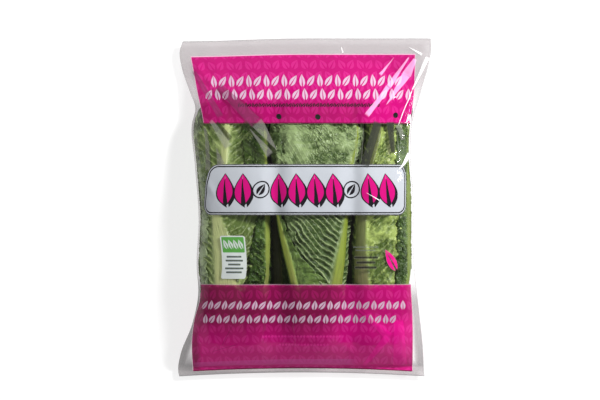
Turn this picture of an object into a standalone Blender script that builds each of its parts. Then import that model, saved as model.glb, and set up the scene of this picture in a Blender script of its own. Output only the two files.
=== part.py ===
"""Sealed film bag of three romaine hearts, lying on its back with its printed face up.

Metres, +Z up. The bag's header points along +Y and its width runs along X. The origin lies on
the surface that the bag rests on, under the middle of the bag. The bag is one closed solid: the
front sheet, the back sheet and the thin rim that joins them.
"""

import bmesh
import bpy
import numpy as np

# A film bag that is 254 by 356 mm when flat, measured again once it is filled
LENGTH = 0.343
THICKNESS = 0.068
SEAL_THICKNESS = 0.0012

# (distance up the bag, half-width there) along the left and the right edge
LEFT_EDGE = (
    (-0.1715, 0.1275),
    (-0.166, 0.1285),
    (-0.150, 0.1262),
    (-0.118, 0.1138),
    (-0.086, 0.1074),
    (-0.060, 0.1090),
    (-0.012, 0.1070),
    (0.044, 0.1110),
    (0.085, 0.1140),
    (0.101, 0.1108),
    (0.117, 0.1162),
    (0.145, 0.1250),
    (0.162, 0.1268),
    (0.1715, 0.1240),
)
RIGHT_EDGE = (
    (-0.1715, 0.1215),
    (-0.142, 0.1195),
    (-0.102, 0.1150),
    (-0.053, 0.1100),
    (0.012, 0.1094),
    (0.056, 0.1068),
    (0.085, 0.1086),
    (0.117, 0.1176),
    (0.145, 0.1256),
    (0.162, 0.1285),
    (0.1715, 0.1280),
)
HEADER_DROP = 0.003  # the header's edge is this much lower at its left corner
FOOT_BOW = 0.004  # the bottom seal is pulled in by this much at its middle

# Height of the sealed ends above the surface, and the air left in the header
HEADER_HEIGHT = 0.0085
FOOT_HEIGHT = 0.0060
HEADER_PUFF = 0.0030
PUFF_RISE = (0.105, 0.125)
PUFF_FALL = (0.158, 0.142)
END_CHANGE = (0.0, 0.12)

# The three hearts lie side by side. They are fullest at WIDEST_Y, and the film comes down to the
# seals over these reaches: (where the film lies across the bag, reach to the header)
WIDEST_Y = -0.020
REACH_DOWN = 0.141
REACH_UP = ((-0.110, 0.152), (-0.072, 0.160), (0.006, 0.168), (0.080, 0.163), (0.110, 0.150))
# The fall towards a seal is (1 - distance ** first) ** second
FALL_DOWN = (4.2, 0.85)
FALL_UP = (2.6, 1.15)
# The film's height over each heart as a share of the tallest one's
CREST = ((-0.110, 0.95), (-0.072, 0.985), (0.006, 1.0), (0.080, 0.965), (0.110, 0.92))

# The hearts taper towards their bases, so the film dips between them in valleys that widen
# towards the foot: (place and half-width at WIDEST_Y, place and half-width at BASE_Y)
BASE_Y = -0.139
VALLEYS = ((-0.0300, 0.0095, -0.0260, 0.0180), (0.0475, 0.0095, 0.0455, 0.0160))
FRONT_DIP = (0.0060, 0.0105)
BACK_LIFT = 0.0065

# Cross-section: 1 - |across| ** SIDE_POWER, raised to UPRIGHT where the bag is full and to
# UPRIGHT + FEATHER where it is empty. The back is pressed flat by this share more.
SIDE_POWER = 3
UPRIGHT = 0.5
FEATHER = 0.9
BACK_PRESS = 1.04

# Thick leaf ribs press ridges along the film: (place across the bag, lower end, upper end, height)
RIBS = (
    (-0.0900, -0.105, 0.020, 0.0018),
    (-0.0200, -0.110, 0.010, 0.0016),
    (0.0385, -0.105, 0.030, 0.0020),
    (0.0980, -0.090, 0.060, 0.0018),
)
RIB_HALF_WIDTH = 0.0075
RIB_START = 0.03
RIB_END = 0.04

# Tension folds run from the corners to the hearts: (start, end, height), each a low rounded ridge
FOLDS = (
    ((0.121, 0.148), (0.068, 0.070), 0.0030),
    ((0.108, 0.156), (0.040, 0.082), 0.0020),
    ((-0.112, 0.118), (-0.048, 0.060), 0.0028),
    ((-0.108, 0.096), (-0.030, 0.044), 0.0022),
    ((-0.120, -0.140), (-0.070, -0.082), 0.0026),
    ((0.116, -0.146), (0.082, -0.078), 0.0024),
)
FOLD_HALF_WIDTH = 0.0062

# Slow waves in the loose header and foot: (height, length across the bag, turn in radians)
HEADER_WAVE = (0.0022, 0.118, 0.6)
FOOT_WAVE = (0.0016, 0.086, -0.4)
HEADER_WAVE_RANGE = (0.10, 0.17)
FOOT_WAVE_RANGE = (-0.12, -0.17)

# Mesh counts, and how far the columns are gathered towards the round sides
COLUMNS = 44
ROWS = 54
GATHER = 0.6

# Printed fields as (lowest, highest) distance up the bag, and the plaque's half-width
TOP_BAND = (0.084, 0.152)
BOTTOM_BAND = (-0.164, -0.077)
PLAQUE_BAND = (-0.006, 0.040)
PLAQUE_HALF_WIDTH = 0.100

COLOURS = {
    "clear_film": ((0.66, 0.62, 0.63), 0.22),
    "magenta_print": ((0.60, 0.012, 0.20), 0.28),
    "plaque_print": ((0.60, 0.62, 0.66), 0.25),
    "romaine_leaf": ((0.16, 0.24, 0.07), 0.45),
}


def curve_through(points, at):
    """Catmull-Rom curve through (position, value) pairs, read at each position in at."""
    xs, ys = np.array(points, float).T
    slopes = np.gradient(ys, xs)
    i = np.clip(np.searchsorted(xs, at) - 1, 0, len(xs) - 2)
    span = xs[i + 1] - xs[i]
    u = np.clip((at - xs[i]) / span, 0.0, 1.0)
    return (
        ys[i] * (1 + 2 * u) * (1 - u) ** 2
        + slopes[i] * span * u * (1 - u) ** 2
        + ys[i + 1] * u**2 * (3 - 2 * u)
        + slopes[i + 1] * span * u**2 * (u - 1)
    )


def ease(low, high, at):
    """Smooth step from 0 at low to 1 at high."""
    u = np.clip((at - low) / (high - low), 0.0, 1.0)
    return u * u * (3 - 2 * u)


def plan(s, t):
    """Place of the sheet's point (s, t), each from -1 to 1, seen from above."""
    y = t * LENGTH / 2
    left = curve_through(LEFT_EDGE, y)
    right = curve_through(RIGHT_EDGE, y)
    x = np.where(s < 0, s * left, s * right)
    end_drop = HEADER_DROP * ease(0.0, 1.0, -s) * ease(0.6, 1.0, t)
    foot_rise = FOOT_BOW * (1 - s**2) * ease(0.6, 1.0, -t)
    return x, y - end_drop + foot_rise


def fullness(x, y):
    """How far the hearts hold the two sheets apart: 0 at the seals, 1 where they are thickest."""
    reach = curve_through(REACH_UP, x)
    up = np.clip((y - WIDEST_Y) / reach, 0.0, 1.0)
    down = np.clip((WIDEST_Y - y) / REACH_DOWN, 0.0, 1.0)
    over_tips = (1 - up ** FALL_UP[0]) ** FALL_UP[1]
    over_bases = (1 - down ** FALL_DOWN[0]) ** FALL_DOWN[1]
    return over_tips * over_bases


def side_profile(s, full):
    """Cross-section: round upright sides where the bag is full, feathered flaps where it is not."""
    return (1 - np.abs(s) ** SIDE_POWER) ** (UPRIGHT + FEATHER * (1 - full))


def towards_base(y):
    """0 from WIDEST_Y up, 1 at the hearts' bases."""
    return np.clip((WIDEST_Y - y) / (WIDEST_Y - BASE_Y), 0.0, 1.2)


def valley(x, y):
    """Nearness to the dips between the hearts."""
    down = towards_base(y)
    total = np.zeros_like(x)
    for place, width, foot_place, foot_width in VALLEYS:
        middle = place + (foot_place - place) * down
        reach = width + (foot_width - width) * down
        total += np.exp(-(((x - middle) / reach) ** 2))
    return total


def rib_relief(x, y):
    """Ridges over the thick leaf ribs."""
    total = np.zeros_like(x)
    for place, low, high, height in RIBS:
        along = ease(low, low + RIB_START, y) * ease(high, high - RIB_END, y)
        total += height * along * np.exp(-(((x - place) / RIB_HALF_WIDTH) ** 2))
    return total


def fold_relief(x, y):
    """Low ridges along the tension folds, each with a shallow groove beside it."""
    total = np.zeros_like(x)
    for start, end, height in FOLDS:
        (x0, y0), (x1, y1) = start, end
        run = np.array((x1 - x0, y1 - y0))
        length = np.hypot(*run)
        along = ((x - x0) * run[0] + (y - y0) * run[1]) / length**2
        off = ((x - x0) * run[1] - (y - y0) * run[0]) / length
        fade = ease(-0.05, 0.2, along) * ease(1.05, 0.6, along)
        ridge = np.exp(-((off / FOLD_HALF_WIDTH) ** 2))
        groove = np.exp(-(((off - 2 * FOLD_HALF_WIDTH) / FOLD_HALF_WIDTH) ** 2))
        total += height * fade * (ridge - 0.5 * groove)
    return total


def wave(x, size):
    """A slow wave across the bag."""
    height, length, turn = size
    return height * np.sin(2 * np.pi * x / length + turn)


def middle_height(x, y, full):
    """Height of the sheet that lies halfway between front and back."""
    header = ease(*END_CHANGE, y)
    rest = HEADER_HEIGHT * header + FOOT_HEIGHT * (1 - header)
    loose = (1 - full) ** 2
    waves = wave(x, HEADER_WAVE) * ease(*HEADER_WAVE_RANGE, y)
    waves = waves + wave(x, FOOT_WAVE) * ease(*FOOT_WAVE_RANGE, y)
    return rest * (1 - full) + THICKNESS / 2 * full + waves * loose


def sheets(s, t):
    """The front and the back sheet at (s, t), each as x, y and z."""
    x, y = plan(s, t)
    full = fullness(x, y)
    middle = middle_height(x, y, full)
    profile = side_profile(s, full)
    puff = HEADER_PUFF * ease(*PUFF_RISE, y) * ease(*PUFF_FALL, y)
    half = (THICKNESS / 2 * full + puff) * profile
    crest = curve_through(CREST, x)
    dip = FRONT_DIP[0] + (FRONT_DIP[1] - FRONT_DIP[0]) * towards_base(y)
    relief = rib_relief(x, y) + fold_relief(x, y) - dip * full * valley(x, y)
    front = middle + SEAL_THICKNESS / 2 + half * crest + relief * profile
    hollow = BACK_LIFT * valley(x, y) * profile * full
    back = middle - SEAL_THICKNESS / 2 - half * BACK_PRESS + hollow
    back = np.maximum(back, 0.0)
    return (x, y, np.maximum(front, back + SEAL_THICKNESS)), (x, y, back)


def sheet_mesh(mesh, place):
    """Adds one sheet to the mesh as a grid, and returns its boundary edges."""
    made = bmesh.ops.create_grid(mesh, x_segments=COLUMNS, y_segments=ROWS, size=1.0)
    corners = np.array([v.co for v in made["verts"]])
    along = corners[:, 0]
    s = (1 - GATHER) * along + GATHER * np.sin(np.pi / 2 * along)
    points = np.array(place(s, corners[:, 1])).T
    for vertex, point in zip(made["verts"], points):
        vertex.co = point
    own = set(made["verts"])
    return [e for e in mesh.edges if e.is_boundary and e.verts[0] in own]


def finish(name):
    """A material in one of the bag's colours."""
    colour, roughness = COLOURS[name]
    material = bpy.data.materials.new(name)
    material.use_nodes = True
    shader = material.node_tree.nodes["Principled BSDF"]
    shader.inputs["Base Color"].default_value = (*colour, 1.0)
    shader.inputs["Roughness"].default_value = roughness
    shader.inputs["Metallic"].default_value = 0.0
    material.diffuse_color = (*colour, 1.0)
    return material


def field_at(centre):
    """The printed field that a face's centre lies in, as a name in COLOURS."""
    if TOP_BAND[0] < centre.y < TOP_BAND[1] or BOTTOM_BAND[0] < centre.y < BOTTOM_BAND[1]:
        return "magenta_print"
    if centre.y > TOP_BAND[1] or centre.y < BOTTOM_BAND[0]:
        return "clear_film"
    in_plaque = PLAQUE_BAND[0] < centre.y < PLAQUE_BAND[1] and abs(centre.x) < PLAQUE_HALF_WIDTH
    if in_plaque and centre.z > THICKNESS / 2:
        return "plaque_print"
    return "romaine_leaf"


def salad_bag():
    """The filled bag as one closed solid."""
    mesh = bmesh.new()
    front_rim = sheet_mesh(mesh, lambda s, t: sheets(s, t)[0])
    back_rim = sheet_mesh(mesh, lambda s, t: sheets(s, t)[1])
    bmesh.ops.bridge_loops(mesh, edges=front_rim + back_rim)
    bmesh.ops.recalc_face_normals(mesh, faces=mesh.faces)
    names = list(COLOURS)
    for face in mesh.faces:
        face.smooth = True
        face.material_index = names.index(field_at(face.calc_center_median()))
    data = bpy.data.meshes.new("salad_bag")
    mesh.to_mesh(data)
    mesh.free()
    for name in names:
        data.materials.append(finish(name))
    bag = bpy.data.objects.new("salad_bag", data)
    bpy.context.scene.collection.objects.link(bag)


def main():
    for old in list(bpy.data.objects):
        bpy.data.objects.remove(old)
    salad_bag()


main()
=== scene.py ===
"""Looks of a sealed film bag of three romaine hearts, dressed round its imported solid.

Metres, +Z up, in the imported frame. The bag lies on its back, its header points along +Y and its
width runs along X. The film is one closed skin that follows the solid, with a printed front and
a printed back. Inside it lie three romaine hearts, each a bundle of separate leaves round a cut
stem. Tables of places are in millimetres, and MM turns them into metres.
"""

from __future__ import annotations

import logging
from collections.abc import Callable
from dataclasses import dataclass
from enum import Enum
from typing import ClassVar

import bpy
import numpy as np
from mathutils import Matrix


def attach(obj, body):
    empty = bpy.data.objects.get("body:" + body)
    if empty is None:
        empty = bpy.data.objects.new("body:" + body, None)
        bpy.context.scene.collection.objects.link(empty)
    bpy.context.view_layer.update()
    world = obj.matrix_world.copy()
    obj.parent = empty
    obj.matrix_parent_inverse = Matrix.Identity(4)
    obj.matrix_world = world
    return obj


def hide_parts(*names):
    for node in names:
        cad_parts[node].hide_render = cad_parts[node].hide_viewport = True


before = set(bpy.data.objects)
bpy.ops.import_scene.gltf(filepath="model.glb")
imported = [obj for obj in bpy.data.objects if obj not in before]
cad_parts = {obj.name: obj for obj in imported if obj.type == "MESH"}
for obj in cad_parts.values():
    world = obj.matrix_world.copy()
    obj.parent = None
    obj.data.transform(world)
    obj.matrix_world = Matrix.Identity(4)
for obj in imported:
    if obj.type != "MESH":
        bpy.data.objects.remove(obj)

LOG = logging.getLogger("romaine_bag")
MM = 0.001
BAG_NODE = "salad_bag"

Curve = tuple[tuple[float, float], ...]
Colour = tuple[float, float, float]
Array = np.ndarray
Piece = bpy.types.Object
Material = bpy.types.Material
Node = bpy.types.Node
NodeTree = bpy.types.NodeTree
Socket = bpy.types.NodeSocket
Sockets = bpy.types.NodeOutputs


def curve_through(points: Curve, at: Array) -> Array:
    """Reads a smooth curve through a few points.

    Args:
        points: (position, value) pairs in rising order of position.
        at: positions to read the curve at.

    Returns:
        The curve's value at each position, held level beyond its ends.
    """
    xs, ys = np.array(points, float).T
    slopes = np.gradient(ys, xs)
    i = np.clip(np.searchsorted(xs, at) - 1, 0, len(xs) - 2)
    span = xs[i + 1] - xs[i]
    u = np.clip((at - xs[i]) / span, 0.0, 1.0)
    return (
        ys[i] * (1 + 2 * u) * (1 - u) ** 2
        + slopes[i] * span * u * (1 - u) ** 2
        + ys[i + 1] * u**2 * (3 - 2 * u)
        + slopes[i + 1] * span * u**2 * (u - 1)
    )


def ease(low: float | Array, high: float | Array, at: Array) -> Array:
    """Smooth step from 0 at low to 1 at high."""
    u = np.clip((at - low) / (high - low), 0.0, 1.0)
    return u * u * (3 - 2 * u)


def ridge(offset: Array, half_width: float | Array) -> Array:
    """Bell curve that is 1 where offset is 0 and fades over half_width."""
    return np.exp(-((offset / half_width) ** 2))


def even(value: float) -> Curve:
    """A curve with the same value all the way up the bag."""
    return ((-139, value), (120, value))


class Noise:
    """Seeded smooth noise over a plane, one feature to a unit."""

    SIZE = 64

    def __init__(self, seed: int) -> None:
        """Draws the heights and the cell places from one seed.

        Args:
            seed: seed of the draws.
        """
        draw = np.random.default_rng(seed)
        self.heights = draw.uniform(-1.0, 1.0, (self.SIZE, self.SIZE))
        self.places = draw.uniform(0.12, 0.88, (self.SIZE, self.SIZE, 2))

    def _height(self, row: Array, column: Array) -> Array:
        """Height at a corner of the plane's grid."""
        return self.heights[row % self.SIZE, column % self.SIZE]

    def swell(self, x: Array, y: Array) -> Array:
        """Rolling heights from -1 to 1.

        Args:
            x: places across.
            y: places up.

        Returns:
            The heights.
        """
        column = np.floor(x).astype(int)
        row = np.floor(y).astype(int)
        across = ease(0.0, 1.0, x - column)
        up = ease(0.0, 1.0, y - row)
        lower = self._height(row, column) * (1 - across) + self._height(row, column + 1) * across
        upper = self._height(row + 1, column) * (1 - across)
        upper = upper + self._height(row + 1, column + 1) * across
        return lower * (1 - up) + upper * up

    def cells(self, x: Array, y: Array) -> Array:
        """Nearness to the middle of a cell: 0 on the border between two cells.

        Args:
            x: places across.
            y: places up.

        Returns:
            The nearness.
        """
        column = np.floor(x).astype(int)
        row = np.floor(y).astype(int)
        near = np.full(np.shape(x), 9.0)
        second = near.copy()
        for down in (-1, 0, 1):
            for over in (-1, 0, 1):
                place = self.places[(row + down) % self.SIZE, (column + over) % self.SIZE]
                gap = np.hypot(column + over + place[..., 0] - x, row + down + place[..., 1] - y)
                second = np.minimum(second, np.maximum(gap, near))
                near = np.minimum(near, gap)
        return second - near


@dataclass(frozen=True)
class BagForm:
    """Shape of the filled bag, from the same sizes as its solid, in metres."""

    length: float = 0.343
    thickness: float = 0.068
    seal: float = 0.0012
    left_edge: Curve = (
        (-0.1715, 0.1275), (-0.166, 0.1285), (-0.150, 0.1262), (-0.118, 0.1138), (-0.086, 0.1074),
        (-0.060, 0.1090), (-0.012, 0.1070), (0.044, 0.1110), (0.085, 0.1140), (0.101, 0.1108),
        (0.117, 0.1162), (0.145, 0.1250), (0.162, 0.1268), (0.1715, 0.1240),
    )
    right_edge: Curve = (
        (-0.1715, 0.1215), (-0.142, 0.1195), (-0.102, 0.1150), (-0.053, 0.1100), (0.012, 0.1094),
        (0.056, 0.1068), (0.085, 0.1086), (0.117, 0.1176), (0.145, 0.1256), (0.162, 0.1285),
        (0.1715, 0.1280),
    )
    header_drop: float = 0.003
    foot_bow: float = 0.004
    ends_from: float = 0.6
    header_from: tuple[float, float] = (0.0, 0.12)
    puff_rise: tuple[float, float] = (0.105, 0.125)
    puff_fall: tuple[float, float] = (0.158, 0.142)
    header_height: float = 0.0085
    foot_height: float = 0.0060
    header_puff: float = 0.0030
    widest: float = -0.020
    base: float = -0.139
    reach_down: float = 0.141
    reach_up: Curve = (
        (-0.110, 0.152),
        (-0.072, 0.160),
        (0.006, 0.168),
        (0.080, 0.163),
        (0.110, 0.150),
    )
    fall_down: tuple[float, float] = (4.2, 0.85)
    fall_up: tuple[float, float] = (2.6, 1.15)
    crest: Curve = ((-0.110, 0.95), (-0.072, 0.985), (0.006, 1.0), (0.080, 0.965), (0.110, 0.92))
    valleys: tuple[tuple[float, float, float, float], ...] = (
        (-0.0300, 0.0095, -0.0260, 0.0180),
        (0.0475, 0.0095, 0.0455, 0.0160),
    )
    front_dip: tuple[float, float] = (0.0060, 0.0105)
    back_lift: float = 0.0065
    side_power: float = 3.0
    upright: float = 0.5
    feather: float = 0.9
    back_press: float = 1.04
    seal_power: float = 24.0

    def half_width(self, s: Array, y: Array) -> Array:
        """Half-width of the bag at y, on the side that s lies on."""
        return np.where(s < 0, curve_through(self.left_edge, y), curve_through(self.right_edge, y))

    def plan(self, s: Array, t: Array) -> tuple[Array, Array]:
        """Place seen from above of the sheet's point (s, t), each from -1 to 1.

        Args:
            s: places across the sheet.
            t: places up the sheet.

        Returns:
            Places across and up the bag, in metres.
        """
        y = t * self.length / 2
        x = s * self.half_width(s, y)
        end_drop = self.header_drop * ease(0.0, 1.0, -s) * ease(self.ends_from, 1.0, t)
        foot_rise = self.foot_bow * (1 - s**2) * ease(self.ends_from, 1.0, -t)
        return x, y - end_drop + foot_rise

    def fullness(self, x: Array, y: Array) -> Array:
        """How far the hearts hold the sheets apart: 0 at the seals, 1 where they are thickest.

        Args:
            x: places across.
            y: places up.

        Returns:
            The shares.
        """
        up = np.clip((y - self.widest) / curve_through(self.reach_up, x), 0.0, 1.0)
        down = np.clip((self.widest - y) / self.reach_down, 0.0, 1.0)
        over_tips = (1 - up ** self.fall_up[0]) ** self.fall_up[1]
        over_bases = (1 - down ** self.fall_down[0]) ** self.fall_down[1]
        return over_tips * over_bases

    def towards_base(self, y: Array) -> Array:
        """0 from the widest place up, 1 at the hearts' bases."""
        return np.clip((self.widest - y) / (self.widest - self.base), 0.0, 1.2)

    def valley(self, x: Array, y: Array) -> Array:
        """Nearness to the dips between the hearts.

        Args:
            x: places across.
            y: places up.

        Returns:
            0 on a heart, 1 in the middle of a dip.
        """
        down = self.towards_base(y)
        total = np.zeros_like(x)
        for place, width, foot_place, foot_width in self.valleys:
            middle = place + (foot_place - place) * down
            total += ridge(x - middle, width + (foot_width - width) * down)
        return total

    def heights(self, x: Array, y: Array) -> tuple[Array, Array]:
        """Finds the film over and under a place.

        Args:
            x: places across.
            y: places up.

        Returns:
            The height of the front sheet and of the back sheet there.
        """
        s = np.clip(x / self.half_width(x, y), -1.0, 1.0)
        full = self.fullness(x, y)
        header = ease(*self.header_from, y)
        rest = self.header_height * header + self.foot_height * (1 - header)
        middle = rest * (1 - full) + self.thickness / 2 * full
        profile = (1 - np.abs(s) ** self.side_power) ** (self.upright + self.feather * (1 - full))
        puff = self.header_puff * ease(*self.puff_rise, y) * ease(*self.puff_fall, y)
        half = (self.thickness / 2 * full + puff) * profile
        dip = self.front_dip[0] + (self.front_dip[1] - self.front_dip[0]) * self.towards_base(y)
        valley = self.valley(x, y) * profile * full
        front = middle + half * curve_through(self.crest, x) - dip * valley
        back = np.maximum(middle - half * self.back_press + self.back_lift * valley, 0.0)
        apart = self.seal / 2 * (1 - np.abs(s) ** self.seal_power)
        return np.maximum(front + apart, back + apart), back


class Sheet:
    """A grid of quads whose points are laid in rows and columns."""

    def __init__(self, name: str, columns: int, rows: int) -> None:
        """Adds a flat grid and works out which of its points is in which row and column.

        Args:
            name: name of the piece.
            columns: quads across.
            rows: quads along.
        """
        bpy.ops.mesh.primitive_grid_add(x_subdivisions=columns, y_subdivisions=rows, size=2.0)
        self.piece = bpy.context.object
        self.piece.name = name
        self.mesh = self.piece.data
        self.mesh.name = name
        flat = np.empty(len(self.mesh.vertices) * 3)
        self.mesh.vertices.foreach_get("co", flat)
        places = flat.reshape(-1, 3)
        column = np.rint((places[:, 0] + 1) / 2 * columns).astype(int)
        row = np.rint((places[:, 1] + 1) / 2 * rows).astype(int)
        self.order = np.empty((rows + 1, columns + 1), int)
        self.order[row, column] = np.arange(len(places))
        lines = np.linspace(-1.0, 1.0, columns + 1), np.linspace(-1.0, 1.0, rows + 1)
        self.across, self.along = np.meshgrid(*lines)

    def lay(self, places: Array) -> None:
        """Moves every point to its place, given as an array of rows, columns and x, y, z.

        Args:
            places: the places.
        """
        points = np.empty((places.shape[0] * places.shape[1], 3))
        points[self.order] = places
        self.mesh.vertices.foreach_set("co", points.ravel())
        self.mesh.update()

    def note(self, name: str, values: Array) -> None:
        """Stores one number for each point, for the materials to read.

        Args:
            name: the attribute's name.
            values: the numbers, in rows and columns.
        """
        ordered = np.empty(values.size)
        ordered[self.order] = values
        self.mesh.attributes.new(name, "FLOAT", "POINT").data.foreach_set("value", ordered)

    def chart(self, name: str, u: Array, v: Array) -> None:
        """Gives the sheet a UV map that puts each point at (u, v).

        Args:
            name: the map's name.
            u: places across the map.
            v: places up the map.
        """
        ordered = np.empty((u.size, 2))
        ordered[self.order] = np.stack((u, v), axis=-1)
        corners = np.empty(len(self.mesh.loops), int)
        self.mesh.loops.foreach_get("vertex_index", corners)
        layer = self.mesh.uv_layers.active
        layer.name = name
        layer.data.foreach_set("uv", ordered[corners].ravel())


def run_across(points: Array) -> Array:
    """Distance along each row of a laid sheet, from its first point."""
    steps = np.linalg.norm(np.diff(points, axis=1), axis=-1)
    return np.concatenate((np.zeros((len(steps), 1)), np.cumsum(steps, axis=1)), axis=1)


def outward(places: Array) -> Array:
    """Unit normals of a laid sheet, out of the side that its faces show."""
    normals = np.cross(np.gradient(places, axis=1), np.gradient(places, axis=0))
    return normals / np.maximum(np.linalg.norm(normals, axis=-1, keepdims=True), 1e-9)


def pick_only(*pieces: Piece) -> None:
    """Selects these pieces and nothing else, the first one active.

    Args:
        pieces: the pieces.
    """
    bpy.ops.object.select_all(action="DESELECT")
    for piece in pieces:
        piece.select_set(True)
    bpy.context.view_layer.objects.active = pieces[0]


def smooth_all(piece: Piece) -> None:
    """Shades a piece smooth."""
    piece.data.polygons.foreach_set("use_smooth", np.ones(len(piece.data.polygons), bool))


def joined(pieces: list[Piece], name: str) -> Piece:
    """Joins pieces into one object under a new name.

    Args:
        pieces: one or more pieces.
        name: the joined piece's name.

    Returns:
        The joined piece.
    """
    pick_only(*pieces)
    if len(pieces) > 1:
        bpy.ops.object.join()
    pieces[0].name = name
    pieces[0].data.name = name
    return pieces[0]


def edit_all(piece: Piece, operator: Callable[..., set[str]], **settings: float) -> None:
    """Runs one edit-mode operator on all of a piece.

    Args:
        piece: the piece.
        operator: the operator.
        settings: the operator's own settings.
    """
    pick_only(piece)
    bpy.ops.object.mode_set(mode="EDIT")
    bpy.ops.mesh.select_all(action="SELECT")
    operator(**settings)
    bpy.ops.object.mode_set(mode="OBJECT")


def hand_over(piece: Piece) -> None:
    """Puts a finished piece on the bag's body, and reports it.

    Args:
        piece: the piece.
    """
    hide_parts(BAG_NODE)
    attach(piece, "root")
    piece.data.calc_loop_triangles()
    LOG.info("%s: %d triangles", piece.name, len(piece.data.loop_triangles))


class Graph:
    """Adds nodes to one node tree and wires them up."""

    def __init__(self, tree: NodeTree) -> None:
        """Takes the tree that it will build in."""
        self.tree = tree

    def feed(self, socket: Socket, value: object) -> None:
        """Wires a socket to another, or sets it to a plain value.

        Args:
            socket: the input that is fed.
            value: another socket, a number, a vector or a colour.
        """
        if isinstance(value, Socket):
            self.tree.links.new(value, socket)
        elif isinstance(value, tuple) and len(value) == 3 and socket.type == "RGBA":
            socket.default_value = (*value, 1.0)
        else:
            socket.default_value = value

    def wire(self, node: Node, feeds: dict[int | str, object]) -> None:
        """Feeds some of a node's inputs, given by number or name."""
        for name, value in feeds.items():
            self.feed(node.inputs[name], value)

    def add(self, kind: str, feeds: dict[int | str, object] | None = None,
            **settings: object) -> Node:
        """Adds a node.

        Args:
            kind: the node's type.
            feeds: what its inputs get, by number or name.
            settings: its own settings.

        Returns:
            The node.
        """
        node = self.tree.nodes.new(kind)
        for name, value in settings.items():
            setattr(node, name, value)
        self.wire(node, feeds or {})
        return node

    def math(self, operation: str, *values: object) -> Socket:
        """A math node's result."""
        return self.add("ShaderNodeMath", dict(enumerate(values)), operation=operation).outputs[0]

    def plus(self, first: object, second: object) -> Socket:
        """The sum of two values."""
        return self.math("ADD", first, second)

    def minus(self, first: object, second: object) -> Socket:
        """The first value less the second."""
        return self.math("SUBTRACT", first, second)

    def times(self, first: object, second: object) -> Socket:
        """The product of two values."""
        return self.math("MULTIPLY", first, second)

    def step(self, value: object, low: object, high: object) -> Socket:
        """A smooth step from 0 at low to 1 at high."""
        feeds = {"Value": value, "From Min": low, "From Max": high}
        return self.add("ShaderNodeMapRange", feeds, interpolation_type="SMOOTHSTEP").outputs["Result"]

    def blend(self, share: object, first: object, second: object) -> Socket:
        """The first colour with a share of the second mixed in."""
        return self.add("ShaderNodeMix", {0: share, 6: first, 7: second}, data_type="RGBA").outputs[2]

    def lerp(self, share: object, first: object, second: object) -> Socket:
        """The first number with a share of the second mixed in."""
        return self.add("ShaderNodeMix", {0: share, 2: first, 3: second}, data_type="FLOAT").outputs[0]

    def noted(self, name: str) -> Socket:
        """A number that the mesh stores for each point."""
        return self.add("ShaderNodeAttribute", attribute_name=name).outputs["Fac"]

    def effect(self, group: NodeTree, **values: object) -> Sockets:
        """Places a node group and feeds its inputs, named with _ for each space."""
        feeds = {name.replace("_", " "): value for name, value in values.items()}
        return self.add("ShaderNodeGroup", feeds, node_tree=group).outputs

    def split(self, vector: Socket) -> Sockets:
        """The X, Y and Z of a vector."""
        return self.add("ShaderNodeSeparateXYZ", {0: vector}).outputs

    def vector(self, x: Socket, y: Socket) -> Socket:
        """A vector with these two parts and no third."""
        return self.add("ShaderNodeCombineXYZ", {"X": x, "Y": y}).outputs["Vector"]

    def noise(self, place: Socket, size: object, detail: float, distortion: float = 0.0) -> Socket:
        """Height of smooth noise, from 0 to 1."""
        feeds = {"Vector": place, "Scale": size, "Detail": detail, "Distortion": distortion}
        return self.add("ShaderNodeTexNoise", feeds).outputs["Fac"]

    def bump(self, height: Socket, strength: float, depth: float) -> Socket:
        """Normals of a fine relief."""
        feeds = {"Strength": strength, "Distance": depth, "Height": height}
        return self.add("ShaderNodeBump", feeds).outputs["Normal"]

    def mixed(self, share: Socket, first: Socket, second: Socket) -> Socket:
        """The first shader with a share of the second mixed in."""
        return self.add("ShaderNodeMixShader", {0: share, 1: first, 2: second}).outputs["Shader"]


class EffectGroup:
    """A shader node group with named inputs and outputs, built once."""

    def __init__(self, name: str, inputs: dict[str, float | None], outputs: tuple[str, ...]) -> None:
        """Makes the group's sockets: an input of None is a vector, any other a number.

        Args:
            name: the group's name.
            inputs: the inputs and their values.
            outputs: the outputs, all numbers.
        """
        self.tree = bpy.data.node_groups.new(name, "ShaderNodeTree")
        for label, value in inputs.items():
            kind = "NodeSocketVector" if value is None else "NodeSocketFloat"
            socket = self.tree.interface.new_socket(label, in_out="INPUT", socket_type=kind)
            if value is not None:
                socket.default_value = value
        for label in outputs:
            self.tree.interface.new_socket(label, in_out="OUTPUT", socket_type="NodeSocketFloat")
        self.graph = Graph(self.tree)
        self.source = self.graph.add("NodeGroupInput").outputs
        self.result = self.graph.add("NodeGroupOutput").inputs


def panel_group() -> NodeTree:
    """Distance outside a rounded panel's edge: less than 0 inside it.

    Returns:
        The node group.
    """
    effect = EffectGroup(
        "rounded_panel",
        {"X": 0.0, "Y": 0.0, "Half Width": 10.0, "Half Height": 5.0, "Corner": 1.0},
        ("Distance",),
    )
    g, src = effect.graph, effect.source
    gaps = []
    for place, half in (("X", "Half Width"), ("Y", "Half Height")):
        inner = g.minus(src[half], src["Corner"])
        gaps.append(g.minus(g.math("ABSOLUTE", src[place]), inner))
    squares = [g.math("POWER", g.math("MAXIMUM", gap, 0.0), 2.0) for gap in gaps]
    outside = g.math("SQRT", g.plus(*squares))
    inside = g.math("MINIMUM", g.math("MAXIMUM", *gaps), 0.0)
    distance = g.minus(g.plus(outside, inside), src["Corner"])
    g.feed(effect.result["Distance"], distance)
    return effect.tree


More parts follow.
